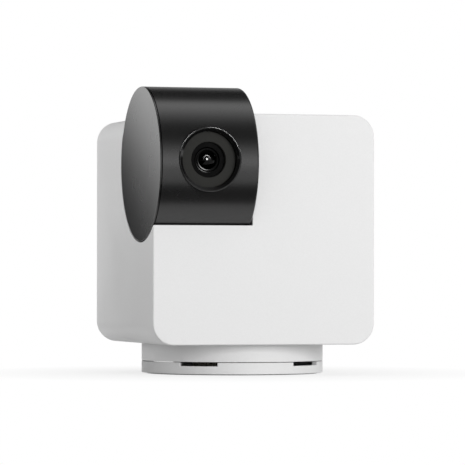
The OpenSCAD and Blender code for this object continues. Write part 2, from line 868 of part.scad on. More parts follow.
// A pinion that stands on z = 0, with a gap between teeth towards a gear in the direction gear_dir
module pinion(gear_dir) {
  difference() {
    rotate(gear_dir + 180 / pinion_teeth) linear_extrude(height = pinion_t) gear_outline(pinion_teeth);
    through_hole(shaft_d, pinion_t);
  }
}

module pan_shaft() {
  color("silver") translate([pan_motor_x, pan_motor_y, pan_pinion_z])
    cylinder(d = shaft_d, h = floor_top + shaft_grip - pan_pinion_z);
}

module pan_pinion() {
  color("ivory") translate([pan_motor_x, pan_motor_y, pan_pinion_z]) pinion(pan_motor_dir + 180);
}

module tilt_shaft() {
  color("silver") at_tilt_motor(tilt_pinion_x)
    cylinder(d = shaft_d, h = tilt_motor_x + shaft_grip - tilt_pinion_x);
}

module tilt_pinion() {
  color("ivory") at_tilt_motor(tilt_pinion_x) pinion(turn_x(tilt_motor_dir) + 180);
}

module reset_button() {
  flange = 0.9;
  proud = 0.3;
  stem_d = 2;
  stem_y = switch_y + switch_key + button_travel + end_play;
  flange_y = cover_y - end_play - flange;
  color("lightgray") {
    along_y(button_x, stem_y, button_z) cylinder(d = stem_d, h = cover_y - stem_y);
    along_y(button_x, flange_y, button_z) cylinder(d = button_d + 2 * button_flange, h = flange);
    along_y(button_x, flange_y + flange / 2, button_z)
      cylinder(d = button_d, h = rear_y + proud - flange_y - flange / 2);
  }
}

// The head, which tilts

// Copies along +Y from y, at the four posts that carry the sensor board
module sensor_posts(y) {
  for (x = [-sensor_post, sensor_post], z = [-sensor_post, sensor_post])
    along_y(lens_x + x, y, lens_z + z) children();
}

module head_shell() {
  color([0.13, 0.13, 0.13]) difference() {
    union() {
      along_x(0, head_y, head_z) rotate_extrude() polygon([
        [0, head_x1 - head_wall], [head_inner_r, head_x1 - head_wall], [head_inner_r, shell_x0],
        [head_r, shell_x0], [head_r, head_x1 - head_edge], [head_r - head_edge, head_x1], [0, head_x1]
      ]);
      intersection() {
        along_x(shell_x0, head_y, head_z) cylinder(r = head_r - head_wall / 2, h = head_len);
        union() {
          along_y(lens_x, bezel_y, lens_z) cylinder(r = collar_r, h = collar_back_y - bezel_y);
          sensor_posts(bezel_y) cylinder(d = sensor_post_d, h = sensor_y - bezel_y);
        }
      }
      along_x(head_x1 - head_wall / 2, head_y, head_z)
        cylinder(d = hub_d, h = hub_end_x - head_x1 + head_wall / 2);
    }
    along_y(lens_x, bezel_y - over, lens_z) cylinder(r = bezel_r + seat, h = bezel_back_y - bezel_y + over);
    along_y(lens_x, bezel_y, lens_z) cylinder(r = bezel_r - bezel_rim, h = collar_back_y - bezel_y + over);
    along_x(head_x1 - head_wall, head_y, head_z) through_hole(hub_bore, hub_end_x - head_x1 + head_wall);
    along_x(hub_end_x, head_y, head_z) around(3, tilt_screw_r) screw_hole(screw_bite + screw_tip);
    sensor_posts(sensor_y) screw_hole(screw_bite + screw_tip);
  }
}

module head_end_cap() {
  skirt_t = 1.2;
  skirt_h = 1.8;
  edge = 0.3;
  skirt_r = head_inner_r - seat;
  color([0.35, 0.35, 0.36]) along_x(0, head_y, head_z) rotate_extrude() polygon([
    [0, head_x0], [head_r - edge, head_x0], [head_r, head_x0 + edge], [head_r, cap_x], [skirt_r, cap_x],
    [skirt_r, cap_in_x + skirt_h], [skirt_r - skirt_t, cap_in_x + skirt_h], [skirt_r - skirt_t, cap_in_x],
    [0, cap_in_x]
  ]);
}

module lens_bezel() {
  edge = 0.3;
  rim_in = bezel_r - bezel_rim;
  ledge_w = 0.9;
  depth = bezel_back_y - bezel_y;
  color("black") along_y(lens_x, bezel_y, lens_z) rotate_extrude() polygon([
    [rim_in, edge], [rim_in + edge, 0], [bezel_r - edge, 0], [bezel_r, edge], [bezel_r, depth],
    [rim_in - ledge_w, depth], [rim_in - ledge_w, depth - bezel_ledge], [rim_in, depth - bezel_ledge]
  ]);
}

module lens_window() {
  color([0.19, 0.19, 0.18]) along_y(lens_x, window_y, lens_z) ring(2 * window_r, window_hole_d, window_t);
}

module lens_shade() {
  shade_d = window_hole_d + 0.8;
  color("black") along_y(lens_x, window_back_y, lens_z) ring(shade_d, lens_nose_d + 2 * seat, shade_t);
}

module lens_barrel() {
  bore_d = lens_glass_d + 2 * seat;
  lip = 0.5;
  color("black") along_y(lens_x, nose_y, lens_z) rotate_extrude() polygon([
    [bore_d / 2, 0], [lens_nose_d / 2 - lip, 0], [lens_nose_d / 2, lip], [lens_nose_d / 2, nose_len],
    [lens_thread_d / 2, nose_len], [lens_thread_d / 2, nose_len + lens_len], [0, nose_len + lens_len],
    [0, glass_depth], [bore_d / 2, glass_depth]
  ]);
}

module lens_glass() {
  crown = 1.1;
  rim_y = 0.5;
  half = lens_glass_d / 2;
  ball_r = (half * half + crown * crown) / (2 * crown);
  color("lightblue") along_y(lens_x, nose_y, lens_z) intersection() {
    translate([0, 0, rim_y - crown]) cylinder(d = lens_glass_d, h = glass_depth - rim_y + crown);
    union() {
      translate([0, 0, rim_y - crown + ball_r]) sphere(r = ball_r);
      translate([0, 0, rim_y + 0.2]) cylinder(d = lens_glass_d, h = glass_depth - rim_y - 0.2);
    }
  }
}

module lens_holder() {
  color("black") difference() {
    translate([lens_x - holder_w / 2, sensor_y - holder_len, lens_z - holder_w / 2])
      cube([holder_w, holder_len, holder_w]);
    along_y(lens_x, sensor_y - holder_len, lens_z) through_hole(lens_thread_d + 2 * seat, holder_len);
  }
}

module image_sensor() {
  chip = [8, 0.9, 7];
  color("darkslategray") translate([lens_x - chip.x / 2, sensor_y - chip.y, lens_z - chip.z / 2])
    cube(chip);
}

module sensor_board() {
  color("darkgreen") difference() {
    translate([lens_x - sensor_board_w / 2, sensor_y, lens_z - sensor_board_w / 2])
      cube([sensor_board_w, board_t, sensor_board_w]);
    sensor_posts(sensor_y) through_hole(screw_hole_d, board_t);
  }
}

module sensor_screws() {
  color("gray") sensor_posts(sensor_y + board_t) screw(board_t + screw_bite);
}

module led_board() {
  color("darkgreen") along_y(lens_x, collar_back_y, lens_z)
    ring(2 * collar_r - collar_wall, 2 * led_board_in, board_t);
}

module infrared_leds() {
  color("lightyellow") along_y(lens_x, collar_back_y - led_h, lens_z) around(led_count, led_r)
    translate([-led_size / 2, -led_size / 2, 0]) cube([led_size, led_size, led_h]);
}

module tilt_gear() {
  color("ivory") along_x(tilt_gear_x, head_y, head_z) difference() {
    rotate(turn_x(tilt_motor_dir)) linear_extrude(height = tilt_gear_t + tilt_web) gear_outline(tilt_teeth);
    translate([0, 0, -over]) cylinder(d = hub_d + 2 * seat, h = tilt_gear_t + over);
    through_hole(hub_bore, tilt_gear_t + tilt_web);
    around(3, tilt_screw_r) through_hole(screw_hole_d, tilt_gear_t + tilt_web);
  }
}

module tilt_gear_screws() {
  color("gray") along_x(tilt_web_x, head_y, head_z) around(3, tilt_screw_r) screw(tilt_web + screw_bite);
}

// Cables: the head's own cable follows the tilt axis, and turns against the body's at the hub's end

module head_cable() {
  start = [lens_x, sensor_y + board_t, lens_z];
  bend_end = [head_x1 - head_wall, head_y, head_z];
  color("dimgray") lead(concat(
    lead_route(start, [0, short_reach, 0], bend_end, [-long_reach, 0, 0]),
    [[tilt_web_x, head_y, head_z]]), head_cable_d);
}

module body_cable() {
  start = [tilt_web_x + end_play, head_y, head_z];
  bend_start = [plug_in(-1, 1).x - bend_room, head_y, head_z];
  color("dimgray") lead(concat(
    [start],
    lead_route(bend_start, [short_reach, 0, 0], plug_in(-1, 1), [-short_reach, 0, 0])), head_cable_d);
}

module motor_leads() {
  pan_start = [pan_motor_x + motor_d / 4, pan_motor_y, floor_top + motor_h];
  tilt_start = [tilt_motor_x + motor_h / 2, tilt_motor_y, tilt_motor_z + motor_d / 2];
  color("dimgray") {
    lead(lead_route(pan_start, [0, 0, long_reach], plug_in(-1, -1), [-long_reach, 0, 0]), lead_d);
    lead(lead_route(tilt_start, [0, 0, short_reach], plug_in(0, 1), [-short_reach, 0, 0]), lead_d);
  }
}

module inner_leads() {
  power_start = [power_w / 6, power_hole_y0, power_z + board_t];
  speaker_start = [speaker_d * 0.4, cover_y - gasket_t - speaker_h, speaker_z];
  antenna_start = [strip.x * 0.4, strip_y, body_top - body_wall - strip.z];
  color("dimgray") {
    lead(lead_route(power_start, [0, 0, long_reach], plug_in(0, -1), [-long_reach, 0, 0]), lead_d);
    lead(lead_route(speaker_start, [0, -long_reach, 0], plug_in(1, -1), [-long_reach, 0, 0]), lead_d);
    lead(lead_route(antenna_start, [0, 0, -short_reach], plug_in(1, 1), [-short_reach, 0, 0]), lead_d);
  }
}

foot_shell();
nonslip_pad();
tripod_insert();
pan_gear();
thrust_washer();
spindle_retainer();
gear_screws();
retainer_screws();
body_shell();
rear_cover();
neck_skirt();
speaker_grille();
neck_screws();
cover_screws();
pan_motor();
pan_motor_screws();
tilt_motor();
tilt_motor_screws();
tilt_bushing();
main_board();
processor_shield();
board_connectors();
board_screws();
antenna_strip();
microphone();
microphone_boot();
power_board();
power_screws();
usb_socket();
reset_switch();
speaker_gasket();
speaker_basket();
speaker_cone();
speaker_magnet();
pan_shaft();
pan_pinion();
tilt_shaft();
tilt_pinion();
reset_button();
head_shell();
head_end_cap();
lens_bezel();
lens_window();
lens_shade();
lens_barrel();
lens_glass();
lens_holder();
image_sensor();
sensor_board();
sensor_screws();
led_board();
infrared_leds();
tilt_gear();
tilt_gear_screws();
head_cable();
body_cable();
motor_leads();
inner_leads();
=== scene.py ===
# %% [markdown]
# # A pan and tilt pet camera
# A white cube turns on a round foot, and a black drum with the lens tilts in a pocket at the cube's upper
# left front corner. The engineering model holds every piece at its true size and place. This lesson dresses
# it: what shows is modelled again with the rounds and small details of a moulded product, the works inside
# keep their own shapes, and every piece gets a finish.

# %% Load the engineering model
import json
import math

import bmesh
import bpy
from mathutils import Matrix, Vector


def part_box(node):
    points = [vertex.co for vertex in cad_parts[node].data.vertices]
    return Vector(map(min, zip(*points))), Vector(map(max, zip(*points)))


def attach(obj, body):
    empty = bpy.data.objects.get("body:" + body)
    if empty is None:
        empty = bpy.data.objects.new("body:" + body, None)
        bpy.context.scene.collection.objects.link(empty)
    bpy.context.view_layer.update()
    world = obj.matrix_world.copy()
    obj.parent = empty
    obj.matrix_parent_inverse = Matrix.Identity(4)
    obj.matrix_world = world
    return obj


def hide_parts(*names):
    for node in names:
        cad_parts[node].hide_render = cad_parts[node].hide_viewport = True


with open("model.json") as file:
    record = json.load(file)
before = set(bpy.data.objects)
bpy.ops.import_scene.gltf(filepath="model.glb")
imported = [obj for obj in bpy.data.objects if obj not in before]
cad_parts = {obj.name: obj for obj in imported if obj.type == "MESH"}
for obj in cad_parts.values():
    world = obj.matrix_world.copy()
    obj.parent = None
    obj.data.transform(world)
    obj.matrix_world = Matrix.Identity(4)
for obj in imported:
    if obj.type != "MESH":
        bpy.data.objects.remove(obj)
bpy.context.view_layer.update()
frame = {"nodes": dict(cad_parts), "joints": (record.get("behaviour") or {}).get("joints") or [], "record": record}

print("pieces in the model:", len(frame["nodes"]))

# %% [markdown]
# ## Shared measures
# A dressed piece has to sit exactly where the engineering piece sits. So its measures are read from the
# model wherever a piece's box or a joint gives them, and only what no box shows is written here, such as
# walls, bores, rounds and the routes of leads.

# %% Read the sizes that several pieces share
MM = 0.001
WALL = 2.2 * MM
CORNER = 7.2 * MM
OVERSHOOT = 1 * MM
SCREW_HEAD_R = 1.5 * MM
SCREW_R = 0.75 * MM
SCREW_HEAD_H = 1 * MM
SEAT = 0.05 * MM

body_low, body_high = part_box("body_shell")
cap_low, cap_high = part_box("head_end_cap")
neck_low, neck_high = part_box("neck_skirt")
head_axis = Vector(next(j["pos_m"] for j in frame["joints"] if j["name"] == "tilt"))
head_r = cap_high.z - head_axis.z
front = body_low.y
rear = body_high.y
print(f"body {(body_high.x - body_low.x) / MM:.1f} mm wide, drum radius {head_r / MM:.1f} mm")

# %% [markdown]
# ## The camera
# The photograph was taken from the left of the front, almost level, through a long lens, which keeps the
# cube's edges nearly parallel. Turning and placing a real camera object by these numbers repeats that view.
# A shift or a crop could frame it too, but then the other views would inherit it.

# %% Place the camera
VIEW_FROM_LEFT = math.radians(16.313)
VIEW_UPWARD = math.radians(0.731)
VIEW_ROLL = math.radians(-0.057)
VIEW_TURN = (math.pi / 2 + VIEW_UPWARD, VIEW_ROLL, -VIEW_FROM_LEFT)
VIEW_PLACE = (-0.31585, -1.07958, 0.03327)
LENS_MM = 256.44

bpy.ops.object.camera_add(location=VIEW_PLACE, rotation=VIEW_TURN)
camera = bpy.context.object
camera.data.lens = LENS_MM
bpy.context.scene.camera = camera
bpy.context.scene.view_settings.view_transform = "Standard"
print(f"camera {Vector(VIEW_PLACE).length:.2f} m from the foot, {LENS_MM} mm lens")

# %% [markdown]
# ## Shader nodes with one helper
# A material or a light's colour is a small graph of nodes. One function adds a node, sets it and links it,
# so each finish below reads as a list of its nodes. Colours are written as on a screen, in sRGB hex, and
# another function turns them to the linear numbers that shaders work with. A third starts a material that
# has no nodes yet.

# %% Add nodes and convert colours
def add(tree, kind, inputs=None, **settings):
    """Adds one shader node. inputs are numbers, colours, outputs, or nodes, which give their first output."""
    node = tree.nodes.new("ShaderNode" + kind)
    for name, value in settings.items():
        setattr(node, name, value)
    for name, value in (inputs or {}).items():
        if isinstance(value, bpy.types.Node):
            value = value.outputs[0]
        if isinstance(value, bpy.types.NodeSocket):
            tree.links.new(value, node.inputs[name])
        else:
            node.inputs[name].default_value = value
    return node


def srgb(code):
    """Linear red, green, blue and alpha of an sRGB hex colour such as e8e8e8."""
    shown = [int(code[i:i + 2], 16) / 255 for i in (0, 2, 4)]
    return [c / 12.92 if c <= 0.04045 else ((c + 0.055) / 1.055) ** 2.4 for c in shown] + [1.0]


def new_finish(name):
    """A material with an empty node tree, and the tree."""
    material = bpy.data.materials.new(name)
    material.use_nodes = True
    material.node_tree.nodes.clear()
    return material, material.node_tree


print("mid grey 808080 is", round(srgb("808080")[0], 3), "in linear light")

# %% [markdown]
# ## The white room
# The photograph's background is plain white. A brighter lamp could burn it out, but it would burn the white
# body too. Instead the world shows white only to the camera and to shiny or clear surfaces, and lights the
# object at a lower, even level.

# %% Make the world
AMBIENT = 0.50

world = bpy.data.worlds.new("white_room")
bpy.context.scene.world = world
world.use_nodes = True
tree = world.node_tree
tree.nodes.clear()
ray = add(tree, "LightPath").outputs
shiny = add(tree, "Math", {0: ray["Is Glossy Ray"], 1: ray["Is Transmission Ray"]}, operation="MAXIMUM")
seen = add(tree, "Math", {0: ray["Is Camera Ray"], 1: shiny}, operation="MAXIMUM")
lit = add(tree, "Background", {"Color": srgb("ffffff"), "Strength": AMBIENT})
shown = add(tree, "Background", {"Color": srgb("ffffff"), "Strength": 1.0})
either = add(tree, "MixShader", {0: seen, 1: lit, 2: shown})
add(tree, "OutputWorld", {"Surface": either})
print("world lights at", AMBIENT, "and shows white")

# %% [markdown]
# ## The floor
# The floor is white paper that glows a little, as a light table does, so the object's shadow on it stays as
# faint as in the photograph. It fades to an even white further away, so that no edge or horizon shows. Light
# that it throws back on the object is held lower, and from below the camera sees through it.

# %% Lay the floor
FLOOR_SIZE = 40.0
FLOOR_DROP = 0.05 * MM
SHADOW_NEAR = 0.035
SHADOW_FAR = 0.10
SHADOW_SHARE = 0.25

bpy.ops.mesh.primitive_plane_add(size=FLOOR_SIZE, location=(0, 0, -FLOOR_DROP))
floor = bpy.context.object
floor.name = "paper_floor"
paper, tree = new_finish("white_paper")
ray = add(tree, "LightPath").outputs
away = add(tree, "VectorMath", {0: add(tree, "TexCoord").outputs["Object"]}, operation="LENGTH")
share = add(tree, "MapRange", {"Value": away.outputs["Value"], "From Min": SHADOW_NEAR,
                               "From Max": SHADOW_FAR, "To Min": SHADOW_SHARE, "To Max": 0.0})
glow = add(tree, "Emission", {"Color": srgb("ffffff"), "Strength": 1.0})
lit = add(tree, "BsdfDiffuse", {"Color": srgb("fafafa")})
shown = add(tree, "MixShader", {0: share, 1: glow, 2: lit})
bounce = add(tree, "BsdfDiffuse", {"Color": srgb("c8c8c8")})
surface = add(tree, "MixShader", {0: ray["Is Diffuse Ray"], 1: shown, 2: bounce})
under = add(tree, "NewGeometry").outputs["Backfacing"]
below = add(tree, "Math", {0: under, 1: ray["Is Camera Ray"]}, operation="MULTIPLY")
through = add(tree, "Math", {0: below, 1: ray["Transparent Depth"]}, operation="ADD", use_clamp=True)
clear = add(tree, "BsdfTransparent")
sheet = add(tree, "MixShader", {0: through, 1: surface, 2: clear})
add(tree, "OutputMaterial", {"Surface": sheet})
floor.data.materials.append(paper)
print("floor", FLOOR_SIZE, "m wide")

# %% [markdown]
# ## Softboxes
# A large softbox to the right of the camera lights the front face and reaches the neck and the foot under
# the body. Behind on the left stand a smaller box and a narrow strip close to the corner, which lighten the
# rear of the left side. The lamps only light: what shiny surfaces mirror is set apart below, so that each
# can be tuned without the other.

# %% Set the softboxes
# What only lights is hidden from these rays.
LIGHT_ONLY = ("camera", "glossy", "transmission")


def hide_from(thing, rays):
    """Hides a lamp or a card from some kinds of rays."""
    for kind in rays:
        setattr(thing, "visible_" + kind, False)


def softbox(name, place, aim, size, radiance):
    """A soft rectangular lamp. A radiance of 1 looks white, and energy follows from it and the size."""
    way = Vector(aim) - Vector(place)
    bpy.ops.object.light_add(type="AREA", location=place, rotation=way.to_track_quat("-Z", "Y").to_euler())
    lamp = bpy.context.object
    lamp.name = name
    lamp.data.shape = "RECTANGLE"
    lamp.data.size, lamp.data.size_y = size
    lamp.data.energy = radiance * math.pi * size[0] * size[1]
    hide_from(lamp, LIGHT_ONLY)
    print(name, "radiance", radiance)
    return lamp


softbox("key_softbox", place=(0.30, -0.97, 0.18), aim=(0, 0, 0.04), size=(0.4, 0.36), radiance=13.4)
side_lamps = [
    softbox("rear_left_softbox", place=(-0.20, 0.16, 0.10), aim=(-0.038, 0.0, 0.05),
            size=(0.2, 0.2), radiance=0.88),
    softbox("corner_strip", place=(-0.075, 0.06, 0.036), aim=(-0.038, 0.038, 0.036),
            size=(0.03, 0.072), radiance=1.0),
]

# %% [markdown]
# ## The flag
# On a set, a flag is black cloth on a frame that keeps light off one place. Here it stands low on the left
# and darkens the lower part of the white side a little. A dimmer lamp would darken all of that side.

# %% Stand the flag
FLAG_X = -0.30
FLAG_Y = -0.10
FLAG_LENGTH = 0.42
FLAG_HEIGHT = 0.08


def stand_card(name, place, turn, size, material):
    """A flat card of the studio, not part of the object."""
    bpy.ops.mesh.primitive_plane_add(size=1, location=place, rotation=turn)
    card = bpy.context.object
    card.name = name
    card.scale = (size[0], size[1], 1)
    card.data.materials.append(material)
    return card


black_cloth, tree = new_finish("black_cloth")
dark = add(tree, "BsdfDiffuse", {"Color": srgb("0a0a0a")})
add(tree, "OutputMaterial", {"Surface": dark})
flag = stand_card("black_flag", (FLAG_X, FLAG_Y, FLAG_HEIGHT / 2), (0, math.pi / 2, 0),
                  (FLAG_HEIGHT, FLAG_LENGTH), black_cloth)
hide_from(flag, LIGHT_ONLY)
print("flag", FLAG_HEIGHT, "m high")

# %% [markdown]
# ## The light tent
# A satin black cylinder is all reflection. What it reflects is a tent: black cloth with one glowing round in
# front, right of the camera, a glowing strip overhead that fades towards the front, and a dim glow behind,
# which lights the drum's top edge. Each draws a pale band along the drum, and the black between them makes
# the bands read. Only reflections see the tent, so it takes no light from the white body. Lamps could draw
# the bands too, but only with hard edges.

# %% Sew the tent
TENT_R = 2.0
LINING = 0.03
FRONT_GLOW = 2.3
FRONT_DROP = 0.08
FRONT_AIM = Vector((math.sin(VIEW_FROM_LEFT), -math.cos(VIEW_FROM_LEFT), -FRONT_DROP)).normalized()
FRONT_REACH = math.radians(42)
# The angles of the strip and of the rear glow rise from the level front, over the top and down.
STRIP_GLOW = 1.85
STRIP_START = math.radians(52)
STRIP_PEAK = math.radians(100)
STRIP_STOP = math.radians(109)
REAR_GLOW = 0.5
REAR_START = math.radians(138)
REAR_FULL = math.radians(160)
# What only reflections see is hidden from these rays.
MIRROR_ONLY = ("camera", "diffuse", "shadow", "transmission")

bpy.ops.mesh.primitive_uv_sphere_add(segments=64, ring_count=32, radius=TENT_R, location=head_axis)
tent = bpy.context.object
tent.name = "light_tent"
cloth, tree = new_finish("tent_cloth")
way = add(tree, "VectorMath", {0: add(tree, "TexCoord").outputs["Object"]}, operation="NORMALIZE")
parts = add(tree, "SeparateXYZ", {0: way}).outputs
ahead = add(tree, "Math", {0: parts["Y"], 1: -1.0}, operation="MULTIPLY")
lift = add(tree, "Math", {0: parts["Z"], 1: ahead}, operation="ARCTAN2")
toward = add(tree, "VectorMath", {0: way, 1: FRONT_AIM}, operation="DOT_PRODUCT").outputs["Value"]
off_front = add(tree, "Math", {0: toward}, operation="ARCCOSINE")
front_glow = add(tree, "MapRange", {"Value": off_front, "From Min": 0.0, "From Max": FRONT_REACH,
                                    "To Min": FRONT_GLOW, "To Max": 0.0}, interpolation_type="SMOOTHSTEP")
strip_up = add(tree, "MapRange", {"Value": lift, "From Min": STRIP_START, "From Max": STRIP_PEAK,
                                  "To Min": 0.0, "To Max": STRIP_GLOW}, interpolation_type="SMOOTHSTEP")
strip_end = add(tree, "MapRange", {"Value": lift, "From Min": STRIP_PEAK, "From Max": STRIP_STOP,
                                   "To Min": 1.0, "To Max": 0.0})
rear_glow = add(tree, "MapRange", {"Value": lift, "From Min": REAR_START, "From Max": REAR_FULL,
                                   "To Min": 0.0, "To Max": REAR_GLOW})
strip = add(tree, "Math", {0: strip_up, 1: strip_end}, operation="MULTIPLY")
level = add(tree, "Math", {0: front_glow, 1: strip}, operation="ADD")
level = add(tree, "Math", {0: level, 1: rear_glow}, operation="ADD")
level = add(tree, "Math", {0: level, 1: LINING}, operation="ADD")
glow = add(tree, "Emission", {"Color": srgb("ffffff"), "Strength": level})
add(tree, "OutputMaterial", {"Surface": glow})
tent.data.materials.append(cloth)
hide_from(tent, MIRROR_ONLY)
print("tent", 2 * TENT_R, "m across")

# %% [markdown]
# ## Black cards on the floor
# The drum also mirrors the floor in front of it. A black card there, for reflections alone, draws the dark
# band below the lens. A second one further out on the left keeps the right side of the bezel dark.

# %% Lay the cards
CARD_LIFT = 0.5 * MM
# Each card has its middle and its size.
FLOOR_CARDS = {
    "black_floor_card": ((0, -0.111), (2, 0.078)),
    "left_floor_card": ((-0.57, -0.55), (1.0, 0.80)),
}

for name, ((x, y), size) in FLOOR_CARDS.items():
    hide_from(stand_card(name, (x, y, CARD_LIFT), (0, 0, 0), size, black_cloth), MIRROR_ONLY)
print("cards on the floor", len(FLOOR_CARDS))

# %% [markdown]
# ## A graded card behind the drum's end
# The drum's flat end is seen almost edge on, and at that angle it mirrors what stands behind it on the left.
# A card there glows at its upper left and fades to black at its lower right, and its mirror image is the soft
# fade down the disc. It stands square to the mirrored line of sight.

# %% Stand the card
GRADED_AWAY = 0.12
GRADED_WIDTH = 0.30
GRADED_HEIGHT = 0.18
GRADED_RIGHT = 0.03
GRADED_GLOW = 1.75
GRADED_POWER = 3.4
DARK_END = -14 * MM
BRIGHT_END = 10 * MM
FADE_WAY = (-0.84, 0.54, 0.0)
MIRROR_RISE = 0.033

mirrored = Vector((-math.sin(VIEW_FROM_LEFT), math.cos(VIEW_FROM_LEFT), MIRROR_RISE))
disc_mid = Vector((body_low.x, head_axis.y, head_axis.z))
across = Vector((math.cos(VIEW_FROM_LEFT), math.sin(VIEW_FROM_LEFT), 0))
moved_left = GRADED_WIDTH / 2 - GRADED_RIGHT
sheen, tree = new_finish("graded_glow")
place = add(tree, "TexCoord").outputs["Object"]
sized = add(tree, "VectorMath", {0: place, 1: (GRADED_WIDTH, GRADED_HEIGHT, 1)}, operation="MULTIPLY")
placed = add(tree, "VectorMath", {0: sized, 1: (-moved_left, 0, 0)}, operation="ADD")
along = add(tree, "VectorMath", {0: placed, 1: FADE_WAY}, operation="DOT_PRODUCT")
part = add(tree, "MapRange", {"Value": along.outputs["Value"], "From Min": DARK_END, "From Max": BRIGHT_END})
curve = add(tree, "Math", {0: part, 1: GRADED_POWER}, operation="POWER")
level = add(tree, "Math", {0: curve, 1: GRADED_GLOW}, operation="MULTIPLY")
glow = add(tree, "Emission", {"Color": srgb("ffffff"), "Strength": level})
add(tree, "OutputMaterial", {"Surface": glow})
graded = stand_card("graded_card", disc_mid + mirrored * GRADED_AWAY - across * moved_left,
                    (math.pi / 2, 0, VIEW_FROM_LEFT), (GRADED_WIDTH, GRADED_HEIGHT), sheen)
hide_from(graded, MIRROR_ONLY)
print("graded card", GRADED_AWAY, "m behind the disc")

# %% [markdown]
# ## Hands for modelling
# Each piece is shaped as by hand: add a primitive, go into edit mode, select what is to change by its place,
# and use an operator on it. These few helpers hold the steps that every piece repeats. A selection by place
# stays right when a size changes, where a list of face numbers would not.

# %% Select and edit
SHARP_EDGE = math.radians(40)


def only(piece):
    """Makes one piece the active object and the only one selected."""
    bpy.ops.object.select_all(action="DESELECT")
    bpy.context.view_layer.objects.active = piece
    piece.select_set(True)


def start_on(piece, kind):
    """Goes into edit mode on one piece with nothing selected. kind is VERT, EDGE or FACE."""
    only(piece)
    bpy.ops.object.mode_set(mode="EDIT")
    bpy.ops.mesh.select_mode(type=kind)
    bpy.ops.mesh.select_all(action="DESELECT")


def leave():
    """Goes back to object mode."""
    bpy.ops.object.mode_set(mode="OBJECT")


def choose(piece, kind, wanted):
    """Goes into edit mode and selects the points, edges or faces that pass a test."""
    start_on(piece, kind)
    mesh = bmesh.from_edit_mesh(piece.data)
    for part in {"VERT": mesh.verts, "EDGE": mesh.edges, "FACE": mesh.faces}[kind]:
        if wanted(part):
            part.select_set(True)
    bmesh.update_edit_mesh(piece.data)


def round_edges(piece, radius, segments=3, wanted=None):
    """Rounds the sharp edges, or those of them whose middle passes a test."""
    start_on(piece, "EDGE")
    bpy.ops.mesh.edges_select_sharp(sharpness=SHARP_EDGE)
    mesh = bmesh.from_edit_mesh(piece.data)
    for edge in mesh.edges:
        if edge.select and wanted and not wanted((edge.verts[0].co + edge.verts[1].co) / 2):
            edge.select_set(False)
    bmesh.update_edit_mesh(piece.data)
    bpy.ops.mesh.bevel(offset=radius, segments=segments, affect="EDGES")
    leave()


print("edges sharper than", round(math.degrees(SHARP_EDGE)), "degrees can be rounded")

# %% Add shapes at their size and place
# A direction counts as along an axis from this share on, and points closer than a micrometre are merged.
ALONG = 0.99
MERGE = 0.001 * MM
AXES = {"X": ((1, 0, 0), (0, 0, 1)), "Y": ((0, 1, 0), (1, 0, 0)), "Z": ((0, 0, 1), (1, 0, 0))}


def named(name):
    """Names the primitive just added, and puts its place and size into its mesh."""
    piece = bpy.context.object
    piece.name = piece.data.name = name
    bpy.ops.object.transform_apply(location=True, rotation=True, scale=True)
    return piece


def rod(name, radius, start, end, sides=48):
    """A round rod from one point to another."""
    start, end = Vector(start), Vector(end)
    turn = (end - start).to_track_quat("Z", "Y").to_euler()
    bpy.ops.mesh.primitive_cylinder_add(vertices=sides, radius=radius, depth=(end - start).length,
                                        location=(start + end) / 2, rotation=turn)
    return named(name)


def block(name, low, high, corner=0.0, segments=12):
    """A block between two corners, with its four edges along Y made round."""
    low, high = Vector(low), Vector(high)
    bpy.ops.mesh.primitive_cube_add(size=1, location=(low + high) / 2, scale=high - low)
    piece = named(name)
    if corner:
        choose(piece, "EDGE", lambda edge: abs((edge.verts[1].co - edge.verts[0].co).normalized().y) > ALONG)
        bpy.ops.mesh.bevel(offset=corner, segments=segments, affect="EDGES")
        leave()
    return piece


def drawn(name, points):
    """A line drawn from point to point, left in edit mode with all of it selected."""
    bpy.ops.mesh.primitive_plane_add(size=MM, location=points[0])
    piece = named(name)
    start_on(piece, "VERT")
    bpy.ops.mesh.select_all(action="SELECT")
    bpy.ops.mesh.merge(type="CENTER")
    for a, b in zip(points, points[1:]):
        bpy.ops.mesh.extrude_region_move(TRANSFORM_OT_translate={"value": b - a})
    bpy.ops.mesh.select_all(action="SELECT")
    return piece


def turned(name, outline, axis="Z", centre=(0, 0, 0), steps=96):
    """Draws an outline of (radius, height) points and spins it about an axis, as on a lathe."""
    along, out = (Vector(v) for v in AXES[axis])
    points = [Vector(centre) + out * r + along * h for r, h in outline]
    if outline[0][0] or outline[-1][0]:
        points.append(points[0])
    piece = drawn(name, points)
    bpy.ops.mesh.spin(steps=steps, angle=2 * math.pi, center=Vector(centre), axis=along)
    bpy.ops.mesh.select_all(action="SELECT")
    bpy.ops.mesh.remove_doubles(threshold=MERGE)
    bpy.ops.mesh.normals_make_consistent(inside=False)
    leave()
    return piece


def arc(middle, radius, start, end, steps=12):
    """Points (radius, height) along an arc, from one angle to another in degrees."""
    turns = [math.radians(start + (end - start) * k / steps) for k in range(steps + 1)]
    return [(middle[0] + radius * math.cos(a), middle[1] + radius * math.sin(a)) for a in turns]


def band(inner, outer, low, high):
    """The outline of a plain ring or disc, from its radii and its two ends."""
    return [(inner, low), (outer, low), (outer, high), (inner, high)]


def crown(half, rise, pole, way=1, steps=12):
    """Points (radius, height) of a ball's cap from its pole to its rim. way is 1 where the rim is higher."""
    ball = (half * half + rise * rise) / (2 * rise)
    turns = [math.asin(half / ball) * k / steps for k in range(steps + 1)]
    return [(ball * math.sin(a), pole + way * ball * (1 - math.cos(a))) for a in turns]


print("lathe axes:", ", ".join(AXES))

# %% Cut, join and finish
SMOOTH_UNDER = math.radians(35)
made = {}


def combine(piece, tool, how="DIFFERENCE"):
    """Cuts a tool from a piece, or joins it with UNION, and takes the tool away."""
    only(piece)
    change = piece.modifiers.new("shape", "BOOLEAN")
    change.operation = how
    change.solver = "EXACT"
    change.object = tool
    bpy.ops.object.modifier_apply(modifier=change.name)
    bpy.data.objects.remove(tool, do_unlink=True)


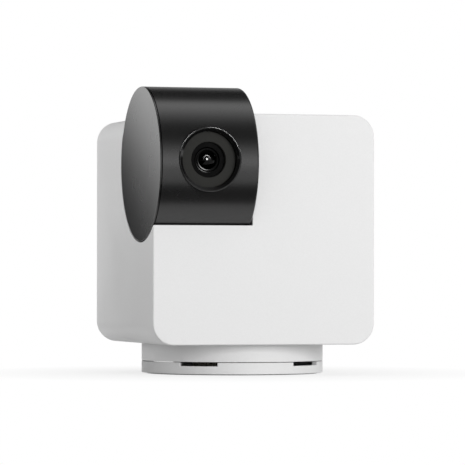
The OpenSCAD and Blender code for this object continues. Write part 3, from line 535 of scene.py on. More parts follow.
def bore(piece, radius, start, end, sides=48):
    """Drills a round hole from one point to another."""
    combine(piece, rod("drill", radius, start, end, sides))


def joined(pieces, name):
    """Joins separate solids into one piece."""
    bpy.ops.object.select_all(action="DESELECT")
    for piece in pieces:
        piece.select_set(True)
    bpy.context.view_layer.objects.active = pieces[0]
    bpy.ops.object.join()
    pieces[0].name = pieces[0].data.name = name
    return pieces[0]


def finish_piece(piece, body, node):
    """Shades a piece so that rounds are smooth and flats stay flat, and puts it in place of its node."""
    only(piece)
    bpy.ops.object.shade_smooth_by_angle(angle=SMOOTH_UNDER)
    even_out = piece.modifiers.new("flats", "WEIGHTED_NORMAL")
    even_out.keep_sharp = True
    bpy.ops.object.modifier_apply(modifier=even_out.name)
    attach(piece, body)
    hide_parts(node)
    made[node] = piece
    print(f"{piece.name}: {len(piece.data.polygons)} faces, stands for {node}")


print("faces that meet under", round(math.degrees(SMOOTH_UNDER)), "degrees are shaded smooth")

# %% [markdown]
# ## The body casing
# The real casing is one moulding: a thin-walled box, open at the back, with a round pocket for the drum. It
# could be built face by face, but a box with rounded edges and clean cuts is quicker and exact. The front
# edge gets a small round, which keeps it crisp and still catches the light.

# %% Shape the outside
FRONT_ROUND = 0.5 * MM
REAR_ROUND = 0.6 * MM

casing = block("body_casing", body_low, body_high, CORNER, segments=16)
round_edges(casing, FRONT_ROUND, 4, lambda p: p.y < front + FRONT_ROUND / 2)
round_edges(casing, REAR_ROUND, 3, lambda p: p.y > rear - REAR_ROUND / 2)
print("casing block:", len(casing.data.polygons), "faces")

# %% Hollow it, and leave a wall round the pocket
DRUM_LENGTH = 33.4 * MM
POCKET_GAP = 0.45 * MM

pocket_r = head_r + POCKET_GAP
drum_end = body_low.x + DRUM_LENGTH
pocket_end = drum_end + POCKET_GAP
on_axis = Vector((0, head_axis.y, head_axis.z))


def at_x(x):
    """The point of the tilt axis at that x."""
    return on_axis + Vector((x, 0, 0))


left_of_body = at_x(body_low.x - OVERSHOOT)
inside_low = body_low + Vector((WALL, WALL, WALL))
inside_high = body_high + Vector((-WALL, OVERSHOOT, -WALL))
cavity = block("cavity", inside_low, inside_high, CORNER - WALL, segments=10)
combine(cavity, rod("cup", pocket_r + WALL, left_of_body, at_x(pocket_end + WALL), sides=128))
combine(casing, cavity)
print("pocket radius", round(pocket_r / MM, 2), "mm")

# %% Add the screw posts
BOSS_R = 3.2 * MM
BOSS_LENGTH = 10 * MM
POST_R = 2.2 * MM
COVER = 2 * MM
X, Y, Z = range(3)


def screw_places(node, a, b):
    """The middles of a group of four screws on two axes, from the box of their heads."""
    low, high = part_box(node)
    inset = Vector((SCREW_HEAD_R, SCREW_HEAD_R, SCREW_HEAD_R))
    low, high = low + inset, high - inset
    return [(p, q) for p in (low[a], high[a]) for q in (low[b], high[b])]


cover_points = screw_places("cover_screws", X, Z)
power_points = screw_places("power_screws", X, Y)
board_points = screw_places("board_screws", Y, Z)
power_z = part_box("power_board")[0].z
board_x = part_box("main_board")[1].x
cover_y = rear - COVER
floor_mid = body_low.z + WALL / 2
side_mid = body_high.x - WALL / 2

posts = [rod("boss", BOSS_R, (x, cover_y - BOSS_LENGTH, z), (x, cover_y, z), sides=32)
         for x, z in cover_points]
posts += [rod("post", POST_R, (x, y, floor_mid), (x, y, power_z), sides=24) for x, y in power_points]
posts += [rod("post", POST_R, (board_x, y, z), (side_mid, y, z), sides=24) for y, z in board_points]
combine(casing, joined(posts, "posts"), "UNION")
print(len(posts), "posts")

# %% Cut the pocket and the holes
HOLE_R = SCREW_R + SEAT
BITE = 3.4 * MM
COVER_BITE = 7.4 * MM
BUSHING_R = 8.2 * MM
FLOOR_HOLE_R = 11.5 * MM
MICROPHONE_R = 0.6 * MM

combine(casing, rod("pocket", pocket_r, left_of_body, at_x(pocket_end), sides=128))
bore(casing, BUSHING_R, at_x(pocket_end - OVERSHOOT), at_x(pocket_end + WALL + OVERSHOOT))
bore(casing, FLOOR_HOLE_R, (0, 0, body_low.z - OVERSHOOT), (0, 0, body_low.z + WALL + OVERSHOOT))
drills = [rod("drill", HOLE_R, (x, cover_y - COVER_BITE, z), (x, rear, z), sides=16) for x, z in cover_points]
drills += [rod("drill", HOLE_R, (x, y, power_z - BITE), (x, y, power_z + OVERSHOOT), sides=16)
           for x, y in power_points]
drills += [rod("drill", HOLE_R, (board_x - OVERSHOOT, y, z), (board_x + BITE, y, z), sides=16)
           for y, z in board_points]
low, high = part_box("microphone")
ear_y = (low.y + high.y) / 2
ear_z = (low.z + high.z) / 2
ear_mouth = (body_high.x + OVERSHOOT, ear_y, ear_z)
drills.append(rod("drill", MICROPHONE_R, (side_mid - WALL, ear_y, ear_z), ear_mouth, sides=24))
combine(casing, joined(drills, "drills"))
print("casing cut:", len(casing.data.polygons), "faces")

# %% Soften the cut edges
CUT_ROUND = 0.25 * MM
NEAR = 0.1 * MM


def on_pocket_rim(p):
    """True for a point on the pocket's edge where it meets the outside of the body."""
    near_round = abs(math.hypot(p.y - head_axis.y, p.z - head_axis.z) - pocket_r) < NEAR
    near_end = abs(p.x - pocket_end) < NEAR
    return (near_round or near_end) and p.x < pocket_end + NEAR


round_edges(casing, CUT_ROUND, 2, on_pocket_rim)
# Where the rounds meet the side they bulge a hair past it, so those points are pressed flat.
choose(casing, "VERT", lambda point: point.co.x < body_low.x)
bpy.ops.transform.resize(value=(0, 1, 1), center_override=(body_low.x, 0, 0))
leave()
finish_piece(casing, "camera_body", "body_shell")

# %% [markdown]
# ## The drum
# The head is a moulded tube with a closed right end. On a lathe its outline would be turned in one go, so it
# is drawn as an outline and spun about the tilt axis. The opening for the bezel is then cut from the front.

# %% Turn the drum
DRUM_WALL = 1.8 * MM
DRUM_ROUND = 0.7 * MM
HUB_R = 6.5 * MM
HUB_BORE = 3.8 * MM
COLLAR_R = 11.95 * MM
COLLAR_LEDGE = 1 * MM
LEDGE_R = 9.25 * MM

shell_low, shell_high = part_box("head_shell")
inner_r = head_r - DRUM_WALL
inner_end = drum_end - DRUM_WALL
drum = turned("head_drum", [
    (0, inner_end), (inner_r, inner_end), (inner_r, shell_low.x), (head_r, shell_low.x), (head_r, drum_end),
    (HUB_R, drum_end), (HUB_R, shell_high.x), (0, shell_high.x)], "X", on_axis, steps=160)


def on_drum_rim(p):
    """True for a point on the rim of the drum's closed end, well away from the hub."""
    return abs(p.x - drum_end) < NEAR and (p - on_axis).yz.length > 2 * HUB_R


round_edges(drum, DRUM_ROUND, 4, on_drum_rim)
print("drum turned:", len(drum.data.polygons), "faces")

# %% Add the collar and cut the opening
def round_size(node):
    """The low and high corner of a round piece's box, and its radius."""
    low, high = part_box(node)
    return low, high, (high.x - low.x) / 2


bezel_low, bezel_high, bezel_r = round_size("lens_bezel")
lens_mid = (bezel_low + bezel_high) / 2
lens_line = Vector((lens_mid.x, 0, lens_mid.z))


def at_y(y):
    """The point of the lens's middle line at that y."""
    return lens_line + Vector((0, y, 0))


collar = rod("collar", COLLAR_R, at_y(bezel_low.y), at_y(bezel_high.y + COLLAR_LEDGE), sides=96)
skin = rod("skin", head_r - DRUM_WALL / 2, left_of_body, at_x(drum_end), sides=128)
combine(collar, skin, "INTERSECT")
combine(drum, collar, "UNION")
bore(drum, bezel_r + SEAT, at_y(bezel_low.y - OVERSHOOT), at_y(bezel_high.y), sides=96)
bore(drum, LEDGE_R, at_y(bezel_low.y), at_y(bezel_high.y + 2 * COLLAR_LEDGE), sides=96)
bore(drum, HUB_BORE, at_x(inner_end - OVERSHOOT), at_x(shell_high.x + OVERSHOOT))
finish_piece(drum, "camera_head", "head_shell")

# %% [markdown]
# ## The end cap
# A flat lid closes the drum's left end, with a skirt that plugs into the tube. A plain disc would do from
# afar, but the fine line where the lid meets the drum shows, so it is turned with its rim and its skirt, and
# its edge is rounded as a moulding's is.

# %% Turn the end cap
CAP_ROUND = 0.25 * MM
CAP_THICK = 1.6 * MM
CAP_RIM = 0.5 * MM
SKIRT = 1.2 * MM

skirt_r = inner_r - SEAT
cap_in = cap_low.x + CAP_THICK
rim_in = cap_low.x + CAP_RIM
cap = turned("drum_end_cap", [
    (0, cap_low.x), (head_r, cap_low.x), (head_r, rim_in), (skirt_r, rim_in), (skirt_r, cap_high.x),
    (skirt_r - SKIRT, cap_high.x), (skirt_r - SKIRT, cap_in), (0, cap_in)], "X", on_axis, steps=160)
round_edges(cap, CAP_ROUND, 3, lambda p: p.x < cap_low.x + CAP_ROUND)
finish_piece(cap, "camera_head", "head_end_cap")

# %% [markdown]
# ## The lens group
# From the front: a bezel ring, a flat smoked window with a hole, a ribbed shade, the lens barrel and its
# front element. All are round about one line, so all are turned. Fine steps in the barrel matter, because
# their edges draw the thin bright rings that make a lens read as a lens.

# %% Turn the bezel
BEZEL_RIM = 1.25 * MM
BEZEL_ROUND = 0.4 * MM
BEZEL_SLOPE = 0.5 * MM
BEZEL_LEDGE = 0.8 * MM
BEZEL_LIP = 0.9 * MM

rim_r = bezel_r - BEZEL_RIM
ledge_y = bezel_high.y - BEZEL_LEDGE
outer_edge = arc((bezel_r - BEZEL_ROUND, bezel_low.y + BEZEL_ROUND), BEZEL_ROUND, -90, 0, steps=6)
lip_r = rim_r - BEZEL_LIP
bezel = turned("bezel_ring", [(rim_r, bezel_low.y + BEZEL_SLOPE)] + outer_edge + [
    (bezel_r, bezel_high.y), (lip_r, bezel_high.y), (lip_r, ledge_y), (rim_r, ledge_y)],
    "Y", lens_line, steps=128)
finish_piece(bezel, "camera_head", "lens_bezel")

# %% Turn the window
WINDOW_HOLE_R = 5.8 * MM
WINDOW_ROUND = 0.2 * MM

window_low, window_high, window_r = round_size("lens_window")
window = turned("smoked_window", band(WINDOW_HOLE_R, window_r, window_low.y, window_high.y),
                "Y", lens_line, steps=128)
round_edges(window, WINDOW_ROUND, 3, lambda p: p.y < window_low.y + WINDOW_ROUND / 2)
finish_piece(window, "camera_head", "lens_window")

# %% Turn the ribbed shade
SHADE_STEPS = 4
STAIR_SHARE = 0.6
NOSE_R = 4.15 * MM

shade_low, shade_high, shade_r = round_size("lens_shade")
shade_in = NOSE_R + SEAT
step_w = (shade_r - shade_in) / SHADE_STEPS
step_h = (shade_high.y - shade_low.y) * STAIR_SHARE / SHADE_STEPS
stairs = [(shade_r, shade_high.y), (shade_r, shade_low.y)]
for k in range(1, SHADE_STEPS):
    stairs.append((shade_r - k * step_w, shade_low.y + (k - 1) * step_h))
    stairs.append((shade_r - k * step_w, shade_low.y + k * step_h))
stairs += [(shade_in, shade_low.y + (SHADE_STEPS - 1) * step_h), (shade_in, shade_high.y)]
shade = turned("lens_shade_ring", stairs, "Y", lens_line)
finish_piece(shade, "camera_head", "lens_shade")

# %% Turn the barrel
BORE_R = 3.25 * MM
NOSE_LENGTH = 2.2 * MM
# Each step is a radius and a depth behind the barrel's nose, in mm.
LIP = ((3.25, 0.55), (3.10, 0.33), (3.10, 0.19), (3.14, 0.19), (3.14, 0.226), (3.42, 0.13))
GROOVE = ((3.46, 0.60), (3.75, 0.60))
FACE = ((4.00, 0.062), (4.13, 0.0), (4.15, 0.05))
BAFFLES = ((2.75, 1.6), (2.2, 2.1), (1.6, 2.6))
STOP_DEPTH = 3 * MM

barrel_low, barrel_high, thread_r = round_size("lens_barrel")
nose = barrel_low.y
steps = []
inner = BORE_R
for r, depth in BAFFLES:
    steps += [(inner, nose + depth * MM), (r * MM, nose + depth * MM)]
    inner = r * MM
inside = [(0, nose + STOP_DEPTH), (inner, nose + STOP_DEPTH)] + steps[::-1]
rings = [(r * MM, nose + depth * MM) for r, depth in LIP + GROOVE + FACE]
shoulder = nose + NOSE_LENGTH
barrel = turned("lens_barrel_body", inside + rings + [
    (NOSE_R, shoulder), (thread_r, shoulder), (thread_r, barrel_high.y), (0, barrel_high.y)],
    "Y", lens_line, steps=128)
finish_piece(barrel, "camera_head", "lens_barrel")

# %% Turn the front element
GLASS_CROWN = 1.1 * MM
GLASS_EDGE = 0.9 * MM
GLASS_HOLLOW = 0.5 * MM

glass_low, _, glass_r = round_size("lens_glass")
back = glass_low.y + GLASS_CROWN + GLASS_EDGE
dome = crown(glass_r, GLASS_CROWN, glass_low.y)
hollow = crown(glass_r, GLASS_HOLLOW, back - GLASS_HOLLOW)[::-1]
glass = turned("front_lens", dome + hollow, "Y", lens_line, steps=64)
finish_piece(glass, "camera_head", "lens_glass")

# %% [markdown]
# ## Lamps for the lens
# The photograph has a small bright point on the lens, a faint arc above it, a crescent on the rings round it
# and a bright line along the top of the bezel. They mirror small lamps. Such lamps would also show on the
# satin drum, so they are linked: each is seen by one piece only.

# %% Set the lens lamps
LENS_LAMP_AWAY = 0.8
POINT_RIGHT = 8.5
POINT_UP = 6.5
POINT_SIZE = (0.22, 0.22)
POINT_GLOW = 90
ARC_SPREAD = 25
ARC_SIZE = (0.26, 0.08)
ARC_GLOW = {-70: 12, -35: 26, 0: 50, 35: 34, 70: 14}
CRESCENT_RIGHT = 42
CRESCENT_UP = 32
CRESCENT_SIZE = (0.4, 0.4)
CRESCENT_GLOW = 150
BEZEL_LAMP_SIZE = (0.2, 0.5)
BEZEL_GLOW = {(102, 62): 22, (95, 30): 30, (-95, 58): 24, (-95, 30): 12}


def keep_to(lamp, *pieces):
    """Lets a lamp light a few pieces alone."""
    lit = bpy.data.collections.new(lamp.name + "_lights")
    for piece in pieces:
        lit.objects.link(piece)
    lamp.light_linking.receiver_collection = lit


def lens_lamp(name, right, up, size, radiance, seen_by, roll=0.0):
    """A small oval lamp at that many degrees right of the front and up, which only one piece sees."""
    right, up = math.radians(right), math.radians(up)
    way = Vector((math.sin(right) * math.cos(up), -math.cos(right) * math.cos(up), math.sin(up)))
    lens_front = at_y(glass_low.y)
    lamp = softbox(name, lens_front + way * LENS_LAMP_AWAY, lens_front, size, radiance)
    lamp.rotation_euler.rotate_axis("Z", roll)
    lamp.data.shape = "ELLIPSE"
    lamp.data.energy *= math.pi / 4
    lamp.visible_glossy = True
    lamp.visible_diffuse = False
    keep_to(lamp, seen_by)


lens_lamp("point_lamp", POINT_RIGHT, POINT_UP, POINT_SIZE, POINT_GLOW, glass)
for turn, radiance in ARC_GLOW.items():
    swing = math.radians(turn)
    right = POINT_RIGHT + ARC_SPREAD * math.sin(swing)
    up = POINT_UP + ARC_SPREAD * math.cos(swing)
    lens_lamp("arc_lamp", right, up, ARC_SIZE, radiance, glass, -swing)
lens_lamp("crescent_lamp", CRESCENT_RIGHT, CRESCENT_UP, CRESCENT_SIZE, CRESCENT_GLOW, barrel)
for (right, up), radiance in BEZEL_GLOW.items():
    lens_lamp("bezel_lamp", right, up, BEZEL_LAMP_SIZE, radiance, bezel)

# %% [markdown]
# ## The neck
# Below the body is a short neck that turns with it, then a fine seam, then the foot that stays still. The
# neck is a cup upside down with a hole for the spindle. A tube and a plate could be joined to one, but it is
# round all over, so it is turned, and its lower edge gets a small round, which draws the seam.

# %% Turn the neck
NECK_WALL = 1.8 * MM
NECK_FLOOR = 2.2 * MM
SEAM_ROUND = 0.15 * MM
SPINDLE_R = 7 * MM

neck_r = neck_high.x
neck = turned("neck_ring", [
    (SPINDLE_R + SEAT, neck_high.z - NECK_FLOOR), (neck_r - NECK_WALL, neck_high.z - NECK_FLOOR),
    (neck_r - NECK_WALL, neck_low.z), (neck_r, neck_low.z), (neck_r, neck_high.z),
    (SPINDLE_R + SEAT, neck_high.z)], steps=160)
round_edges(neck, SEAM_ROUND, 3, lambda p: p.z < neck_low.z + SEAM_ROUND / 2)
finish_piece(neck, "camera_body", "neck_skirt")

# %% [markdown]
# ## Side lamps
# The two lamps behind on the left are meant for the white side and the neck below it. Now that both pieces
# are made, the lamps are linked to them, which leaves the drum and the foot as they are.

# %% Keep the side lamps to the casing and the neck
for lamp in side_lamps:
    keep_to(lamp, casing, neck)
print(len(side_lamps), "lamps light the casing and the neck alone")

# %% [markdown]
# ## The foot
# The foot is a shallow dish with a spindle in its middle. Its outline has a seat for the brass insert and a
# groove for the rubber ring, so both are turned with it, and only the slots and the screw holes are cut
# afterwards.

# %% Turn the foot
FOOT_RIM = 4.15 * MM
FOOT_FLOOR = 2 * MM
FOOT_ROUND = 0.25 * MM
PAD_WIDTH = 5 * MM

foot_low, foot_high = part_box("foot_shell")
pad_low, pad_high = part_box("nonslip_pad")
insert_low, insert_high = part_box("tripod_insert")
foot_r = foot_high.x
pad_r = pad_high.x
insert_r = insert_high.x
foot_top = foot_low.z + FOOT_FLOOR
seat_r = insert_r + SEAT
groove_in = pad_r - PAD_WIDTH - SEAT
groove_out = pad_r + SEAT
foot = turned("foot_dish", [
    (0, insert_high.z), (seat_r, insert_high.z), (seat_r, foot_low.z), (groove_in, foot_low.z),
    (groove_in, pad_high.z), (groove_out, pad_high.z), (groove_out, foot_low.z), (foot_r, foot_low.z),
    (foot_r, FOOT_RIM), (foot_r - NECK_WALL, FOOT_RIM), (foot_r - NECK_WALL, foot_top), (SPINDLE_R, foot_top),
    (SPINDLE_R, foot_high.z), (0, foot_high.z)], steps=160)
round_edges(foot, FOOT_ROUND, 4, lambda p: p.xy.length > foot_r - SEAT and p.z < foot_low.z + SEAT)
round_edges(foot, SEAM_ROUND, 3, lambda p: p.xy.length > foot_r - SEAT and p.z > FOOT_RIM - SEAT)
print("foot turned:", len(foot.data.polygons), "faces")

# %% [markdown]
# ## Slots and screw holes in the foot
# The dark slots under the seam are notches in the foot's rim. Dark paint could pass for them from the front,
# but not from other sides, so small blocks cut them, each turned to face outwards. The three screws that hold
# the gear inside come from below, so each gets a drilled hole and a recess for its head.

# %% Cut the slots and the screw holes
SLOT_H = 1.2 * MM
SLOT_SWEEP = math.radians(26)
SLOT_ANGLE = math.radians(38.3)
GEAR_SCREW_R = 9.3625 * MM
GEAR_SCREW_TURNS = (0, 120, 240)
RECESS_R = 1.7 * MM

slot_w = 2 * foot_r * math.sin(SLOT_SWEEP / 2)
slots = []
for turn in (SLOT_ANGLE, -SLOT_ANGLE, math.pi + SLOT_ANGLE, math.pi - SLOT_ANGLE):
    place = (foot_r * math.sin(turn), -foot_r * math.cos(turn), FOOT_RIM)
    bpy.ops.mesh.primitive_cube_add(size=1, location=place, rotation=(0, 0, turn),
                                    scale=(slot_w, 4 * NECK_WALL, 2 * SLOT_H))
    slots.append(named("slot"))
combine(foot, joined(slots, "slots"))
gear_points = [(GEAR_SCREW_R * math.cos(a), GEAR_SCREW_R * math.sin(a))
               for a in map(math.radians, GEAR_SCREW_TURNS)]
recesses = [rod("recess", RECESS_R, (x, y, 0), (x, y, foot_low.z + SCREW_HEAD_H), sides=32)
            for x, y in gear_points]
combine(foot, joined(recesses, "recesses"))
drills = [rod("drill", HOLE_R, (x, y, foot_low.z), (x, y, foot_top + OVERSHOOT), sides=24)
          for x, y in gear_points]
combine(foot, joined(drills, "drills"))
finish_piece(foot, "base", "foot_shell")

# %% [markdown]
# ## The underside
# A rubber ring keeps the camera from sliding, and a brass insert takes a tripod screw. The ring gets fine
# ribs and the insert a real thread, because a plain ring and a plain hole would look unfinished up close. The
# ribs are part of the turned outline. The thread is one tooth that the Screw modifier winds up, and it is cut
# from the insert as a tap would cut it.

# %% Turn the ribbed pad
PAD_RIBS = 5
RIB_DEPTH = 0.25 * MM

rib_w = PAD_WIDTH / (2 * PAD_RIBS + 1)
pad_in = pad_r - PAD_WIDTH
ribs = []
for k in range(PAD_RIBS):
    inner = pad_in + (2 * k + 1) * rib_w
    ribs += [(inner, pad_low.z), (inner, pad_low.z + RIB_DEPTH)]
    ribs += [(inner + rib_w, pad_low.z + RIB_DEPTH), (inner + rib_w, pad_low.z)]
pad = turned("rubber_pad", [(pad_in, pad_high.z), (pad_in, pad_low.z)] + ribs +
             [(pad_r, pad_low.z), (pad_r, pad_high.z)], steps=128)
finish_piece(pad, "base", "nonslip_pad")

# %% Tap the brass insert
THREAD_PITCH = 1.27 * MM
THREAD_DEPTH = 0.6 * MM
THREAD_FLAT = 0.16 * MM
BRASS_BORE = 2.55 * MM
THREAD_STEPS = 48

insert = turned("brass_insert", band(BRASS_BORE, insert_r, insert_low.z, insert_high.z))
half_pitch = THREAD_PITCH / 2 - THREAD_FLAT
root = BRASS_BORE - 2 * SEAT
crest = root + THREAD_DEPTH
tooth = [(root, 0), (crest, half_pitch), (crest, half_pitch + THREAD_FLAT),
         (root, 2 * half_pitch + THREAD_FLAT), (root, 0)]
below = insert_low.z - 2 * THREAD_PITCH
tap = drawn("tap", [Vector((r, 0, below + h)) for r, h in tooth])
bpy.ops.mesh.remove_doubles(threshold=MERGE)
leave()
turns = math.ceil((insert_high.z - insert_low.z) / THREAD_PITCH) + 3
helix = tap.modifiers.new("thread", "SCREW")
helix.angle = 2 * math.pi * turns
helix.screw_offset = THREAD_PITCH * turns
helix.steps = helix.render_steps = THREAD_STEPS * turns
bpy.ops.object.modifier_apply(modifier=helix.name)
start_on(tap, "EDGE")
bpy.ops.mesh.select_non_manifold()
bpy.ops.mesh.fill_holes(sides=0)
bpy.ops.mesh.select_all(action="SELECT")
bpy.ops.mesh.normals_make_consistent(inside=False)
leave()
combine(insert, tap)
finish_piece(insert, "base", "tripod_insert")

# %% [markdown]
# ## The rear cover
# The photograph doesn't show the back. Cameras of this kind close it with a screwed plate that holds the
# speaker, the power socket and a reset button, so that is what the model has. The plate is a block with round
# corners, and each opening is cut where its part sits.

# %% Shape the rear cover
COVER_GAP = 0.15 * MM
COVER_ROUND = 0.4 * MM
CUP_WALL = 1.2 * MM
SPEAKER_R = 14.05 * MM
GRILLE_LEDGE = 1.5 * MM
USB_ROOM = 0.35 * MM
BUTTON_ROOM = 0.15 * MM
BUTTON_R = 1.6 * MM

cover_low, cover_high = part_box("rear_cover")
grille_low, grille_high, grille_r = round_size("speaker_grille")
usb_low, usb_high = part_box("usb_socket")
button_low, button_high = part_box("reset_button")
speaker_z = (grille_low.z + grille_high.z) / 2
button_mid = (button_low + button_high) / 2


def at_speaker(y):
    """The point of the speaker's middle line at that y."""
    return (0, y, speaker_z)


cover = block("rear_cover_plate", (cover_low.x, cover_y, cover_low.z), cover_high, CORNER - WALL - COVER_GAP)
round_edges(cover, COVER_ROUND, 3, lambda p: p.y > rear - COVER_ROUND / 2)
cup = rod("cup", SPEAKER_R + CUP_WALL, at_speaker(cover_low.y), at_speaker(rear - COVER / 2), sides=96)
combine(cover, cup, "UNION")
bore(cover, SPEAKER_R, at_speaker(cover_low.y - OVERSHOOT), at_speaker(cover_y), sides=96)
bore(cover, grille_r - GRILLE_LEDGE, at_speaker(cover_low.y), at_speaker(rear + OVERSHOOT), sides=96)
bore(cover, grille_r + SEAT, at_speaker(grille_low.y), at_speaker(rear + OVERSHOOT), sides=96)
print("cover:", len(cover.data.polygons), "faces")

# %% Cut the cover's small openings
usb_mouth = block("mouth", (usb_low.x - USB_ROOM, cover_y - OVERSHOOT, usb_low.z - USB_ROOM),
                  (usb_high.x + USB_ROOM, rear + OVERSHOOT, usb_high.z + USB_ROOM),
                  (usb_high.z - usb_low.z) / 2 + USB_ROOM - SEAT)
combine(cover, usb_mouth)
button_line = Vector((button_mid.x, 0, button_mid.z))
holes = [rod("hole", BUTTON_R + BUTTON_ROOM, button_line + Vector((0, cover_y - OVERSHOOT, 0)),
             button_line + Vector((0, rear + OVERSHOOT, 0)), sides=32)]
holes += [rod("hole", HOLE_R, (x, cover_y - OVERSHOOT, z), (x, rear, z), sides=24) for x, z in cover_points]
combine(cover, joined(holes, "holes"))
recesses = [rod("recess", RECESS_R, (x, rear - SCREW_HEAD_H, z), (x, rear + OVERSHOOT, z), sides=32)
            for x, z in cover_points]
combine(cover, joined(recesses, "recesses"))
finish_piece(cover, "camera_body", "rear_cover")

# %% [markdown]
# ## The speaker grille
# A disc with a field of small holes lets the sound out. A dark pattern would look flat from the side, so the
# holes are real. They are drilled all at once, in rows that are set off by half a pitch.

# %% Drill the speaker grille
GRILLE_HOLE_R = 0.7 * MM
GRILLE_PITCH = 2.8 * MM
GRILLE_ROUND = 0.35 * MM

grille = turned("speaker_grille_disc", band(0, grille_r, grille_low.y, grille_high.y), "Y", at_speaker(0))
round_edges(grille, GRILLE_ROUND, 3, lambda p: p.y > grille_high.y - SEAT)
rows = math.ceil(grille_r / GRILLE_PITCH)
drills = []
for i in range(-rows, rows + 1):
    for j in range(-rows, rows + 1):
        x = (i + j / 2) * GRILLE_PITCH
        z = j * GRILLE_PITCH * math.sqrt(3) / 2
        if math.hypot(x, z) < grille_r - GRILLE_LEDGE - 2 * GRILLE_HOLE_R:
            start = (x, grille_low.y - OVERSHOOT, speaker_z - z)
            drills.append(rod("drill", GRILLE_HOLE_R, start, (x, rear + OVERSHOOT, speaker_z - z), sides=20))
print(len(drills), "holes in the grille")
combine(grille, joined(drills, "drills"))
finish_piece(grille, "camera_body", "speaker_grille")

# %% [markdown]
# ## The power socket
# The socket is a shell of thin steel, bent into a flat oval, with a tongue inside. Its outer face is inset
# and then pushed in, which leaves the thin wall in two steps, where a cut would need a second block.

# %% Fold the power socket
USB_SKIN = 0.3 * MM
USB_BACK = 1 * MM
TONGUE_INSET = 1.6 * MM
TONGUE_H = 0.7 * MM
TONGUE_ROUND = 0.15 * MM

usb_mid = (usb_low + usb_high) / 2
socket = block("power_socket", usb_low, usb_high, (usb_high.z - usb_low.z) / 2 - SEAT)
choose(socket, "FACE", lambda face: face.normal.y > ALONG)
bpy.ops.mesh.inset(thickness=USB_SKIN)
bpy.ops.mesh.extrude_region_move(TRANSFORM_OT_translate={"value": (0, usb_low.y + USB_BACK - usb_high.y, 0)})
leave()
tongue = block("tongue", (usb_low.x + TONGUE_INSET, usb_low.y + USB_BACK / 2, usb_mid.z - TONGUE_H / 2),
               (usb_high.x - TONGUE_INSET, usb_high.y - USB_BACK / 2, usb_mid.z + TONGUE_H / 2))
round_edges(tongue, TONGUE_ROUND, 2)
finish_piece(joined([socket, tongue], "power_socket"), "camera_body", "usb_socket")

# %% [markdown]
# ## The reset button
# The button is a small round key with a flange, which keeps it from falling out, and a stem that reaches the
# switch. All of it is round, so it is turned in one go.

# %% Turn the reset button
FLANGE = 0.9 * MM
FLANGE_R = 2.4 * MM
STEM_R = 1 * MM
END_PLAY = 0.1 * MM
BUTTON_ROUND = 0.4 * MM

flange_in = cover_y - END_PLAY - FLANGE
button = turned("reset_key_cap", [
    (0, button_low.y), (STEM_R, button_low.y), (STEM_R, flange_in), (FLANGE_R, flange_in),
    (FLANGE_R, flange_in + FLANGE), (BUTTON_R, flange_in + FLANGE), (BUTTON_R, button_high.y),
    (0, button_high.y)], "Y", button_line, steps=48)
round_edges(button, BUTTON_ROUND, 4, lambda p: p.y > button_high.y - SEAT)
finish_piece(button, "reset_key", "reset_button")

# %% [markdown]
# ## Screws
# Four screws hold the rear cover and three show under the foot. A pan-head screw is turned, its cross is cut
# with two small blocks, and the others are copies with a mesh of their own.

# %% Make the screws that show
CROSS_W = 0.42 * MM
CROSS_L = 1.9 * MM
CROSS_D = 0.55 * MM
HEAD_ROUND = 0.4 * MM


def screw(axis, foot_of_head, way, length):
    """A pan-head screw whose head stands on a point and faces along an axis, up it or down it."""
    along = Vector(AXES[axis][0])
    base = foot_of_head.dot(along)
    top = base + way * SCREW_HEAD_H
    line = foot_of_head - along * base
    piece = turned("screw", [(0, base - way * length), (SCREW_R, base - way * length), (SCREW_R, base),
                             (SCREW_HEAD_R, base), (SCREW_HEAD_R, top), (0, top)], axis, line, steps=40)
    round_edges(piece, HEAD_ROUND, 3, lambda p: abs(p.dot(along) - top) < SEAT)
    side = Vector(AXES[axis][1])
    other = along.cross(side)
    for wide, thin in ((other, side), (side, other)):
        size = Vector([abs(v) for v in wide * CROSS_L + thin * CROSS_W + along * 2 * CROSS_D])
        bpy.ops.mesh.primitive_cube_add(size=1, location=line + along * top, scale=size)
        combine(piece, named("cross"))
    return piece


def screw_set(name, axis, way, length, seats):
    """One screw at the first seat, and copies of it at the others."""
    first = screw(axis, Vector(seats[0]), way, length)
    group = [first]
    for seat in seats[1:]:
        only(first)
        bpy.ops.object.duplicate()
        bpy.context.object.location = Vector(seat) - Vector(seats[0])
        group.append(named("screw"))
    return joined(group, name)


low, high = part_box("cover_screws")
seats = [(x, rear - SCREW_HEAD_H, z) for x, z in cover_points]
cover_set = screw_set("cover_screw_set", "Y", 1, high.y - SCREW_HEAD_H - low.y, seats)
finish_piece(cover_set, "camera_body", "cover_screws")
low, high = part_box("gear_screws")
seats = [(x, y, low.z + SCREW_HEAD_H) for x, y in gear_points]
gear_set = screw_set("gear_screw_set", "Z", -1, high.z - low.z - SCREW_HEAD_H, seats)
finish_piece(gear_set, "base", "gear_screws")

# %% [markdown]
# ## Leads
# Inside, leads run from the boards to the motors, the speaker and the head. A chain of rods would kink. A
# lead is a Bezier curve with a round section, which bends as a lead does, and it is made a mesh at the end.

# %% Run the leads
CABLE_R = 1.5 * MM
WIRE_R = 0.7 * MM
LEAD_STEPS = 20
LEAD_ROUND = 5


